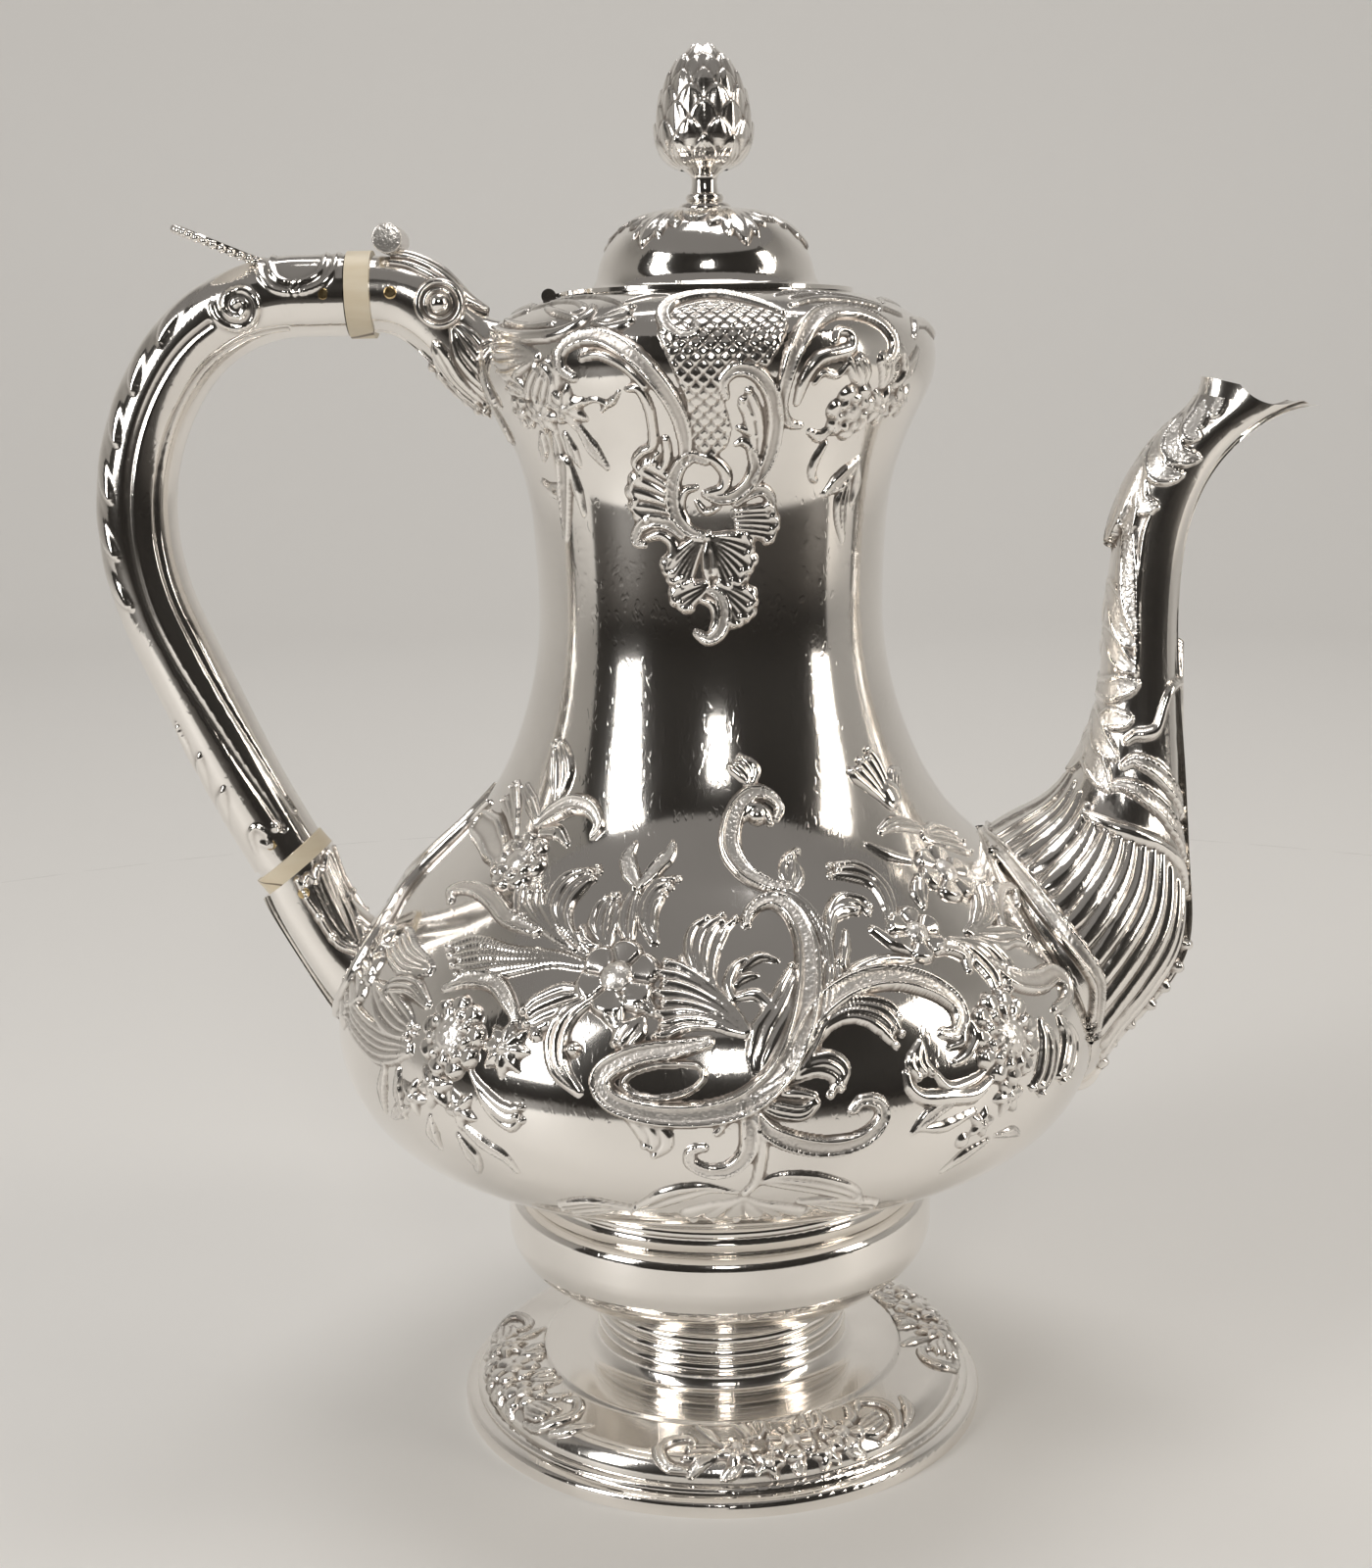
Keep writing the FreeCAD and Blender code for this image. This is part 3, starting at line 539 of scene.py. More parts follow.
def smoothed(field, times=1):
    for _ in range(times):
        padded = np.pad(field, 1, mode="edge")
        sides = padded[:-2, 1:-1] + padded[2:, 1:-1] + padded[1:-1, :-2] + padded[1:-1, 2:]
        field = (3 * field + sides) / 7
    return field


def dress(piece, body, material):
    """Smooth shading, finish, body and slot of one new piece."""
    select_only(piece)
    bpy.ops.object.shade_smooth()
    piece.data.materials.clear()
    piece.data.materials.append(material)
    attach(piece, body)


class Sheet:
    """A fine grid on a surface, raised stroke by stroke. Chart is (degrees, millimetres along)."""

    def __init__(self, name, surface, across, up, step, onto=None):
        self.surface = surface
        self.step = step
        wide = longest(surface(*np.meshgrid(np.linspace(*across, 40), np.linspace(*up, 9))))
        tall = longest(surface(*np.meshgrid(np.linspace(*up, 40), np.linspace(*across, 9))[::-1]))
        columns = int(wide / step) + 2
        rows = int(tall / step) + 2
        bpy.ops.object.select_all(action="DESELECT")
        bpy.ops.mesh.primitive_grid_add(x_subdivisions=columns - 1, y_subdivisions=rows - 1, size=1)
        self.piece = bpy.context.object
        self.piece.name = name
        self.piece.data.name = name
        flat = np.empty(rows * columns * 3)
        self.piece.data.vertices.foreach_get("co", flat)
        flat = flat.reshape(rows, columns, 3) + 0.5
        self.u = across[0] + flat[..., 0] * (across[1] - across[0])
        self.v = up[0] + flat[..., 1] * (up[1] - up[0])
        self.point = surface(self.u, self.v)
        if onto:
            spots = self.point.reshape(-1, 3)
            self.point = np.array([drawn_to(onto, spot) for spot in spots]).reshape(self.point.shape)
        out = np.cross(np.gradient(self.point, axis=1), np.gradient(self.point, axis=0))
        self.out = out / (np.linalg.norm(out, axis=2, keepdims=True) + 1e-9)
        self.rise = np.zeros(self.u.shape)
        self.stipple = np.zeros(self.u.shape)

    def scale_at(self, u, v):
        """Millimetres to one unit of each chart axis."""
        here, right, above = self.surface(np.array([u, u + 0.1, u]), np.array([v, v, v + 0.1]))
        return np.linalg.norm(right - here) * 10, np.linalg.norm(above - here) * 10

    def window(self, line, reach):
        """Points of the sheet that a line can touch within a reach."""
        wide, tall = self.scale_at(*line[len(line) // 2])
        margin = np.array([reach / wide, reach / tall]) * 1.3
        low, high = line.min(0) - margin, line.max(0) + margin
        return np.nonzero((self.u > low[0]) & (self.u < high[0]) & (self.v > low[1]) & (self.v < high[1]))

    def inside(self, outline):
        """Points of the sheet within a closed chart outline."""
        outline = np.array(outline, float)
        found = np.zeros(self.u.shape, bool)
        for (u0, v0), (u1, v1) in zip(outline, np.roll(outline, -1, axis=0)):
            crosses = (v0 > self.v) != (v1 > self.v)
            meets = u0 + (self.v - v0) / ((v1 - v0) or 1e-9) * (u1 - u0)
            found ^= crosses & (self.u < meets)
        return found

    def raise_to(self, where, height):
        """Raise some points; where marks cross, the higher one wins."""
        self.rise[where] = np.maximum(self.rise[where], height)

    def mark(self, line, half, height, section=bead, matted=0.0):
        """Raise one ridge along a chart line; its middle share is matted with a punch."""
        height = np.broadcast_to(height, half.shape)
        near = self.window(line, half.max())
        if not len(near[0]):
            return
        spots = self.surface(line[:, 0], line[:, 1])
        point = self.point[near]
        closest = np.zeros(len(point), int)
        best = np.full(len(point), 1e9)
        for index, spot in enumerate(spots):
            distance = ((point - spot) ** 2).sum(1)
            nearer = distance < best
            best[nearer] = distance[nearer]
            closest[nearer] = index
        q = np.sqrt(best) / half[closest]
        self.raise_to(near, height[closest] * section(q) * (q < 1))
        if matted:
            self.stipple[near] = np.maximum(self.stipple[near], (q < matted) * 1.0)

    def stroke(self, path, widths, height, section=None):
        """A ridge along a flowing path; broad ones are ribbed unless another section is given."""
        section = section or (ribbed if max(widths) > BROAD else bead)
        line = flowing(path)
        line = spread_evenly(line, int(run_along(self.surface(*line.T))[-1] / LINE_STEP) + 8)
        run = run_along(line)
        half = np.interp(run / run[-1], np.linspace(0, 1, len(widths)), widths) / 2
        self.mark(line, half, height * np.sqrt(half / half.max()), section, MATTED * (section is gutter))

    def boss(self, place, radius, height, matted=0.0):
        """A round knob."""
        line = np.array([place, place], float)
        self.mark(line, np.array([radius, radius]), height, matted=matted)

    def finish(self, lift, body, material, bare=False, cut=None):
        """Press the raised grid into shape and hand it to its body. A sheet with bare ground dips under
        the plain metal round its marks and ends there, and the points of the cut mask go as well."""
        rise = smoothed(self.rise)
        # Painted shade and tarnish: the hollow value is how far each point lies below its smoothed
        # surroundings, and the silver finishes darken it there.
        broad = smoothed(rise, int(SHADE_AREA / self.step**2))
        hollow_shade_and_tarnish = np.clip((broad - rise) * SHADE_GAIN / max(rise.max(), LEAST_RELIEF), 0, 1)
        rise = rise + GRAIN * self.stipple * np.random.default_rng(7).random(rise.shape)
        if bare:
            near = smoothed((self.rise > 0) * 1.0, int(EDGE_AREA / self.step**2))
            lift = (lift + DIP) * np.clip(near / EDGE_SLOPE, 0, 1) - DIP
            cut = (near < EDGE_END) | (False if cut is None else cut)
        final = (self.point + self.out * (rise + lift)[..., None]) * MM
        mesh = self.piece.data
        mesh.vertices.foreach_set("co", final.ravel())
        for label, values in (("hollow_shade_and_tarnish", hollow_shade_and_tarnish), ("stipple", self.stipple)):
            mesh.attributes.new(label, "FLOAT", "POINT").data.foreach_set("value", values.ravel())
        mesh.update()
        if cut is not None:
            cut_away(self.piece, cut.ravel())
        dress(self.piece, body, material)
        return self.piece


print("sheet ready: marks spaced", LINE_STEP, "mm along a stroke")

# %% Leaves and shells
NARROWEST_RIB = 1.45
RIB_POINTS = 40
FAN_POINTS = 24


def plume(sheet, one_edge, other_edge, strands, height, tip=0.5):
    """A leaf between two edges: ribs on a raised bed, each ending in a small curled tip."""
    one = spread_evenly(flowing(one_edge), RIB_POINTS)
    other = spread_evenly(flowing(other_edge), RIB_POINTS)
    gap = np.linalg.norm(sheet.surface(*one.T) - sheet.surface(*other.T), axis=1)
    strands = max(2, min(strands, int(1.3 * gap.max() / NARROWEST_RIB)))
    count = np.arange(RIB_POINTS)
    spread = np.interp(count, [0, 6, 16, 32, 40], [0.35, 0.9, 1.3, 1.3, 1.1])[:, None]
    gap = gap * spread[:, 0]
    sides = [((one + other) / 2 + side * spread * (other - one))[1:-2:4] for side in (-0.5, 0.5)]
    sheet.raise_to(sheet.inside(np.vstack([sides[0], sides[1][::-1]])), 0.42 * height)
    for strand in range(strands):
        aside = (strand + 0.5) / strands - 0.5
        line = (one + other) / 2 + aside * spread * (other - one)
        stop = RIB_POINTS - (strand % 2) * 3
        half = np.maximum(0.53 * gap / strands, 0.42)
        half = half * np.interp(count, [0, 8, 30, stop], [0.8, 1, 1, 0.6])
        tall = height * (0.84 + 0.16 * (strand % 2)) * (half / half.max()) ** 0.4
        sheet.mark(line[:stop], half[:stop], tall[:stop])
        if tip:
            sheet.boss(line[stop - 1], tip + 0.25 * half[stop - 2], height * 1.15)


def shell(sheet, hinge, rim, lobes, height):
    """A fan of ribs from a hinge line to a scalloped rim."""
    count = 4 * lobes + 1
    inner, outer = spread_evenly(flowing(hinge), count), spread_evenly(flowing(rim), count)
    edge = outer + 0.13 * abs(np.sin(np.linspace(0, lobes * np.pi, count)))[:, None] * (outer - inner)
    spots = sheet.surface(*edge.T)
    sheet.raise_to(sheet.inside(np.vstack([inner, edge[::-1]])), height * 0.3)
    bend = 0.14 * np.sin(np.linspace(0, np.pi, FAN_POINTS))[:, None]
    for rib in range(1, count, 2):
        apart = np.linalg.norm(spots[rib + 1] - spots[rib - 1])
        line = np.linspace(inner[rib], edge[rib], FAN_POINTS) + bend * (edge[rib - 1] - edge[rib + 1])
        half = np.interp(np.arange(FAN_POINTS), [0, FAN_POINTS - 1], [0.35, 0.56 * apart])
        sheet.mark(line, half, height * 0.8)
    sheet.stroke(edge, [1.1, 1.1], height)
    for corner in edge[::4]:
        sheet.boss(corner, 0.75, height * 1.15)


print("leaf tools: plume, shell")


# %% Flowers
def aside_from(sheet, place, radius, angle):
    """The chart position at a distance from a place, in a direction."""
    wide, tall = sheet.scale_at(*place)
    return place[0] + radius / wide * math.cos(angle), place[1] + radius / tall * math.sin(angle)


def petals(sheet, place, radius, count, height, turn):
    """A scalloped disc of domed petals, creased between them and rolled up at its rim."""
    wide, tall = sheet.scale_at(*place)
    near = sheet.window(np.array([place], float), radius)
    east, north = (sheet.u[near] - place[0]) * wide, (sheet.v[near] - place[1]) * tall
    out = np.hypot(east, north)
    side = (np.arctan2(north, east) - turn) * count / math.tau
    side = abs(side - np.round(side))
    reach = out / (radius * (0.8 + 0.2 * np.clip(np.cos(np.pi * side), 0, 1) ** 0.6))
    crease = 1 - 0.5 * np.exp(-((0.5 - side) * math.tau / count * out / 0.36) ** 2)
    rim = np.sqrt(np.clip((1 - reach) / 0.12, 0, 1))
    sheet.raise_to(near, height * rim * ((1 - 1.3 * side**2) * crease) * (0.64 + 0.36 * reach**2))


def seeds(sheet, place, radius, height):
    """Rings of small grains on the eye of a large flower."""
    for ring, grains in ((0, 1), (0.36, 6), (0.72, 12)):
        for angle in np.arange(grains) * math.tau / grains:
            spot = aside_from(sheet, place, ring * radius, angle)
            sheet.boss(spot, radius * 0.17, height * (1 - 0.3 * ring))


def flower(sheet, place, radius, count, height, turn=0.0, eye=0.42):
    """Petals round a matted eye; a full flower has a second, smaller ring, and a large eye has seeds."""
    radius = radius * 1.12
    petals(sheet, place, radius, count, height * 0.85, turn)
    if count > 6:
        petals(sheet, place, radius * 0.7, count, height * 1.15, turn + math.pi / count)
    sheet.boss(place, radius * eye, height * 1.1, matted=0.85)
    if eye >= 0.5:
        seeds(sheet, place, radius * eye, height * 1.3)


def star(sheet, place, radius, points, height, turn=0.0):
    """A flower of pointed petals round a small eye."""
    widths = [0.3 * radius, 0.66 * radius, 0.5 * radius, 0.12 * radius]
    for angle in np.arange(points) * math.tau / points + turn:
        sheet.stroke([place, aside_from(sheet, place, radius, angle)], widths, height, blade)
    sheet.boss(place, radius * 0.26, height * 1.3, matted=0.85)


print("flower tools: petals, flower, seeds, star")

# %% [markdown]
# ## The belly
# The widest part of the pot carries its best work: a great C scroll that starts in an oval eye,
# swings under it and climbs on the right, an S scroll above, acanthus leaves on both sides, and
# bunches of flowers towards the handle and the spout. Every line below was read from the picture
# as degrees round and millimetres up, then drawn with the tools. The far side gets a mirrored copy.


# %% Belly: scrolls of the middle
def great_scroll(sheet):
    """The C scroll with its bare oval eye, and the strands that run beside it."""
    sheet.stroke([(-2, 74.5), (-6, 73.3), (-11, 72), (-15, 69.3), (-16, 66.3), (-14, 63.3),
                  (-9, 61.6), (-3, 61.6), (2, 63.2), (6, 66.8), (9, 72), (11.8, 80), (13.6, 88), (14.2, 95),
                  (13, 100.5), (10.3, 103.2), (7.2, 102.6), (5, 100.2), (4.6, 98.3)],
                 [2, 3.4, 3.8, 4, 4, 4, 4.2, 4.6, 5, 5, 5, 5, 5, 4.8, 4.5, 4, 3.5, 2.5, 1.5], 2.1, gutter)
    sheet.stroke([(-5.4, 70.6), (-9, 70.2), (-12, 68.6), (-13, 66.6), (-11.4, 64.8), (-8, 64.4),
                  (-4.6, 65.6), (-2.6, 68), (-3.2, 70.2), (-5.4, 70.6)], [0.8, 0.8], 1.2)
    sheet.stroke([(4, 64.5), (9, 69), (13, 76), (15.6, 84), (17.2, 91), (17.2, 97), (15.5, 101.8),
                  (12.5, 105), (9, 107)], [2.5, 3.2, 3.2, 3, 3, 2.8, 2.5, 2], 1.6)
    plume(sheet, [(1, 69), (4, 75), (8.5, 83), (11, 89)],
          [(9, 67.5), (13, 75), (16.5, 83), (18.8, 89)], 7, 1.15)


def s_scroll(sheet):
    """The S scroll that rises onto the neck, with its boss and sprig."""
    sheet.stroke([(13.5, 105.8), (9.5, 107), (5.5, 110), (3, 114.5), (3, 119), (5, 123.5), (9, 126.3),
                  (13, 125.8), (15.5, 123.2), (14.2, 121)],
                 [2, 3, 3.6, 4, 4, 3.8, 3.4, 2.8, 2, 1.4], 1.8, gutter)
    sheet.stroke([(6, 121.3), (8.5, 123.3), (11.5, 122.3), (12.5, 120.2)], [1.5, 3, 2.5, 1.5], 1.7)
    sheet.boss((9.6, 121.8), 1.9, 1.9)
    plume(sheet, [(8, 127.5), (5.5, 130), (3, 131.5)], [(9.5, 128), (9.5, 131.5), (7, 133.8)], 3, 0.8)
    sheet.stroke([(9.5, 128.5), (10.6, 131), (9, 133)], [1, 1.8, 0.8], 0.8)
    plume(sheet, [(13, 106), (13, 109.5), (15, 113), (18.3, 114.3)],
          [(15, 104), (16.8, 108), (16.5, 111), (14, 111)], 3, 0.9)


def right_scroll(sheet):
    """The C scroll that rolls over to the right, and the leaves under it."""
    sheet.stroke([(8, 70), (12.5, 78), (17, 82.3), (22, 84.2), (27, 84), (31.5, 81.5), (34.6, 77.7),
                  (35.2, 74), (33.4, 71.3), (31.4, 71.8)],
                 [2, 3.5, 4, 4.4, 4.6, 4.8, 4.8, 4, 3, 2], 2.0, gutter)
    sheet.stroke([(14, 80), (20, 86), (26, 88), (31.5, 87)], [1.5, 2.4, 2.4, 1], 1.2)
    sheet.stroke([(36, 74), (36.6, 70), (34.5, 67), (32.3, 66)], [1.5, 2.5, 2.2, 1.2], 1.4)
    sheet.stroke([(35, 72), (34, 69.5), (31.8, 69)], [1.5, 2, 1], 1.3)
    plume(sheet, [(8, 68), (12, 74), (17, 77.3), (21, 75.8), (23.6, 71)],
          [(10, 70.5), (14, 77.5), (19, 80.8), (24.3, 79), (25.8, 74.5)], 4, 1.4)
    plume(sheet, [(4, 65.3), (8, 67), (12, 68.3), (14.5, 66.5), (13.5, 63.8)],
          [(6, 66.8), (10, 70), (14, 71.2), (16.2, 68.8), (15.5, 65.2)], 3, 1.2)


def under_scrolls(sheet):
    """The curls that hang below the eye, and the sprays at the base."""
    sheet.stroke([(3.5, 62.5), (5.5, 58.3), (9.5, 55.5), (14, 54.3), (18, 55.3), (20.5, 58.3), (20.2, 61.3),
                  (18, 62.3), (16.6, 60.8)], [1.5, 3, 3.6, 3.8, 3.6, 3.2, 2.8, 2.2, 1.5], 1.8, gutter)
    sheet.stroke([(4.5, 63.3), (7, 62), (9.8, 61.3), (11.5, 62.7)], [2, 3.4, 3.2, 2], 1.3)
    sheet.stroke([(6, 65), (9, 64.8), (11.5, 64)], [1, 2, 1.2], 1.1)
    sheet.stroke([(3, 64), (3.2, 59), (2.8, 54.5), (0.8, 51.3), (-2, 50.6), (-4.3, 52.3), (-4.2, 54.8),
                  (-2.6, 55.3)], [2.5, 3.4, 3.4, 3.2, 2.8, 2.4, 2, 1.2], 1.6, gutter)
    sheet.stroke([(0, 62), (-0.3, 59.5), (-1, 58)], [1.5, 1.6, 1], 0.9)
    sheet.stroke([(4.6, 59), (4.6, 53), (4, 48), (2.5, 45)], [2, 2, 1.8, 1.2], 1.1)
    plume(sheet, [(-14, 61.5), (-11.5, 59.8), (-10.3, 57), (-10.4, 55.8)],
          [(-11, 61.2), (-8, 59), (-7.2, 56), (-8.8, 53.4)], 3, 1.0)
    plume(sheet, [(1.5, 45), (-2, 45.5), (-6, 43.5), (-10, 40.5), (-13, 39)],
          [(1.5, 45.6), (-3, 47.6), (-8, 45.8), (-11.5, 41.8), (-13.5, 39.6)], 2, 1.0)
    plume(sheet, [(3.5, 47), (6, 46.5), (11, 45), (16, 42), (19, 39)],
          [(4.5, 49), (8, 49.8), (13, 47.8), (17.5, 44.2), (19.5, 40)], 3, 1.0)
    plume(sheet, [(2, 44), (-1, 42), (-4, 39), (-5, 37)], [(3, 44), (5, 42), (8, 39.5), (11, 37)], 6, 1.0)
    plume(sheet, [(-13, 39.5), (-17, 38), (-22, 35)], [(-13, 40.5), (-19, 41.2), (-25, 38)], 4, 1.0)
    plume(sheet, [(10, 41), (14, 38.5), (19, 35)], [(10, 42.5), (16, 41.3), (23, 37.5)], 4, 1.0)


def inner_leaves(sheet):
    """The fan left of the great scroll, and the leaf and sprig inside it."""
    plume(sheet, [(2, 74.5), (-1.5, 77.5), (-5.5, 77.8), (-9, 75.5)],
          [(4.5, 77.5), (1, 82), (-4, 87), (-10, 90.5)], 8, 1.25)
    plume(sheet, [(1.5, 80), (-1.2, 87), (-0.8, 93), (1, 97.5), (3.2, 99.5)],
          [(0, 81), (-3.5, 87.5), (-5.2, 92.5), (-4.6, 97.5), (-1, 101)], 5, 1.2)
    sheet.stroke([(-3, 86), (-5.6, 89.3), (-6.3, 91.4)], [2, 2, 1], 1.0)
    sheet.stroke([(1.5, 82.5), (1, 86), (2.2, 89.5), (4, 91)], [1.2, 2, 1.8, 0.8], 0.9)
    sheet.stroke([(3, 88.5), (6, 91.2), (9, 90.3)], [0.8, 2, 0.8], 0.9)
    sheet.stroke([(2, 83), (5, 83.6), (7, 80.5), (8, 77)], [1.2, 2.4, 2, 1], 1.0)
    sheet.stroke([(2, 85.5), (3.5, 87), (5.5, 87.5)], [0.8, 1.6, 0.7], 0.8)


middle_motifs = (great_scroll, s_scroll, right_scroll, under_scrolls, inner_leaves)
print("motifs of the middle:", len(middle_motifs))


# %% Belly: flowers and leaves towards the handle
def left_flower(sheet):
    flower(sheet, (-16, 86.6), 7.2, 6, 2.0, 0.4)
    sheet.stroke([(-14, 82), (-11.5, 81.7), (-10, 80.3)], [3, 4.5, 2], 1.7)
    sheet.stroke([(-16, 82), (-15.5, 79.5), (-14.5, 77)], [4, 5, 2], 1.4)
    plume(sheet, [(-12, 79), (-14, 77), (-15, 74)], [(-10.5, 79), (-11, 76), (-13, 72.5)], 3, 1.0)
    plume(sheet, [(-17.5, 92), (-18.5, 96), (-19, 100.5), (-19.5, 104.5)],
          [(-20, 92.5), (-22.8, 97), (-23, 101.5), (-21.3, 104.3)], 4, 1.2)
    plume(sheet, [(-20, 93), (-23, 94.5), (-24.3, 97)], [(-21, 92.5), (-24, 93), (-25.3, 95)], 2, 1.0)
    plume(sheet, [(-16.5, 94), (-17.8, 98), (-18, 102), (-17.2, 106)],
          [(-14, 93.5), (-15, 98), (-15.5, 103), (-15, 106)], 3, 1.2)
    plume(sheet, [(-12.5, 94), (-14.5, 100), (-14.3, 104.5), (-12, 108), (-8, 109)],
          [(-9.5, 94.5), (-11.5, 98), (-11.8, 102), (-10.3, 105.5)], 4, 1.2)
    sheet.stroke([(-16, 106.5), (-18.6, 110), (-19.8, 113), (-19, 115.8)], [1.5, 3.4, 3.2, 1.2], 1.1, gutter)
    sheet.stroke([(-15.5, 107), (-13, 111), (-10.8, 113.8), (-10.2, 116.2)],
                 [1.5, 3.2, 3.2, 1.2], 1.1, gutter)
    sheet.stroke([(-18.8, 82.5), (-22, 78.5), (-23, 73.5), (-22, 68.5), (-19, 64.5)],
                 [2, 4.4, 5, 4.2, 1.6], 1.6)
    sheet.boss((-20.3, 72), 1.4, 1.9)


def left_sweeps(sheet):
    """Long leaves that sweep from the flower towards the handle."""
    plume(sheet, [(-25, 91.4), (-31.5, 94.6), (-38.5, 99), (-41, 103.6)],
          [(-24, 91.8), (-30, 96), (-34.6, 100.8), (-35.6, 104.6)], 4, 1.2)
    plume(sheet, [(-22.5, 91.4), (-30.6, 97.2), (-33.6, 102), (-32.4, 107.6), (-26, 110.4)],
          [(-21.5, 91.6), (-27, 96.8), (-28.6, 101.2), (-27.4, 105.2), (-25, 108.8)], 4, 1.35)
    plume(sheet, [(-19, 83.6), (-23.5, 84), (-27.5, 81.2), (-29.5, 78.4)],
          [(-18.5, 81.2), (-21.5, 78.4), (-25, 76), (-27.5, 74)], 4, 1.0)
    plume(sheet, [(-63, 76), (-57, 75), (-51, 72.6), (-47.6, 70.4)],
          [(-63.5, 72.4), (-59, 69.4), (-53, 67.4), (-48, 68.0)], 4, 1.25)
    sheet.stroke([(-53.5, 61.2), (-54.5, 55.6), (-55, 50.4)], [1.2, 2.6, 1], 1.0, gutter)
    sheet.stroke([(-50, 61.2), (-50, 56.4), (-49, 51.6)], [1.2, 2.6, 1], 1.0, gutter)
    plume(sheet, [(-20, 90), (-28, 90.8), (-36, 90), (-44, 90), (-50, 87)],
          [(-20, 87), (-27, 88), (-34, 85.5), (-40, 82.5), (-44, 82)], 7, 1.2)
    sheet.stroke([(-33, 94.5), (-40, 96), (-46, 99), (-52, 100.3), (-57, 99.8), (-60.3, 98), (-58.5, 96.3)],
                 [2, 3, 3.6, 3.6, 3.2, 2.6, 1.6], 1.7, gutter)
    sheet.stroke([(-45, 79), (-41, 82), (-36, 82.3), (-32, 79), (-30, 76)],
                 [1.5, 3.5, 3.5, 3, 1.5], 1.5, gutter)
    sheet.stroke([(-47, 75), (-52, 77), (-57, 75.5), (-58, 72)], [2, 4.4, 4.4, 2], 1.7)
    plume(sheet, [(-48, 69), (-56, 67), (-64, 67.5), (-72, 69)],
          [(-47, 63), (-54, 61), (-62, 62), (-70, 64)], 5, 1.3)
    plume(sheet, [(-50, 84), (-57, 84), (-64, 87)], [(-50, 79), (-58, 79), (-66, 81)], 5, 1.2)


def left_bouquet(sheet):
    flower(sheet, (-40, 70.6), 7.2, 9, 2.2, 0.2, 0.54)
    star(sheet, (-30.5, 70.5), 5.2, 8, 1.7)
    sheet.boss((-26.2, 74), 1.3, 1.3)
    sheet.boss((-25, 76.2), 1.0, 1.1)
    plume(sheet, [(-36, 66), (-33, 62.5), (-29.5, 60), (-27, 60.7)],
          [(-35, 64), (-32.5, 59), (-29, 56), (-27, 57.5)], 3, 1.1)
    star(sheet, (-42, 60.5), 4.6, 6, 1.4, 0.3)
    star(sheet, (-37, 57.5), 4.0, 5, 1.3, 0.9)
    star(sheet, (-46.5, 57), 3.8, 5, 1.2)
    sheet.stroke([(-37, 54.5), (-33.5, 51.5), (-30.5, 49.5), (-29, 46.5)], [1.2, 2.4, 2.2, 1], 0.9, gutter)
    sheet.stroke([(-43, 54), (-43.3, 50.5), (-42.5, 47)], [1, 3.2, 1], 0.9, gutter)
    sheet.stroke([(-38, 52), (-36, 47), (-36.5, 43.5)], [1, 3.6, 1], 0.9, gutter)
    sheet.stroke([(-48, 54), (-51, 52), (-53, 50)], [1, 2.8, 1], 0.9, gutter)


def left_rosette(sheet):
    """The rosette, scroll and leaf beside the lower handle socket."""
    flower(sheet, (-46.5, 108.6), 6.4, 7, 1.9)
    sheet.stroke([(-47, 117.5), (-43, 120.5), (-38, 122.8), (-32.5, 122.3), (-29, 119.3), (-29.8, 116.8)],
                 [2.2, 3.6, 4.2, 3.8, 2.6, 1.5], 1.9, gutter)
    sheet.stroke([(-48, 118), (-53, 121), (-59, 123.8)], [2, 3.5, 2.5], 1.4)
    sheet.stroke([(-36, 114.5), (-40, 116.5), (-45, 116)], [1.2, 3, 2], 1.0)
    plume(sheet, [(-46, 122), (-49, 128), (-52, 134)],
          [(-42, 122.5), (-41.5, 127), (-44, 132), (-49, 135.5)], 4, 1.2)
    sheet.stroke([(-50, 107), (-57, 110), (-64, 112.5), (-72, 113)], [3, 7, 8, 7], 1.7, gutter)
    plume(sheet, [(-44, 103), (-41, 100), (-39, 96)], [(-38.5, 104), (-37.5, 100), (-36, 97)], 3, 1.0)
    plume(sheet, [(-52, 112), (-60, 117), (-68, 119)], [(-53, 115), (-60, 121), (-66, 125)], 4, 1.1)
    sheet.stroke([(-79, 117.6), (-83.5, 110.8), (-84, 103), (-83.5, 95.6), (-80.5, 89.6), (-76, 84.8),
                  (-72.5, 77.2), (-74, 68.4), (-81, 60)], [1, 1.8, 2.4, 3, 3.4, 3.6, 3.4, 3, 1.6], 2.2, bead)
    shell(sheet, [(-80, 84), (-78, 76), (-80, 68)], [(-72, 84), (-67, 77), (-68, 69), (-74, 63)], 4, 1.3)


handle_motifs = (left_flower, left_sweeps, left_bouquet, left_rosette)
print("motifs towards the handle:", len(handle_motifs))


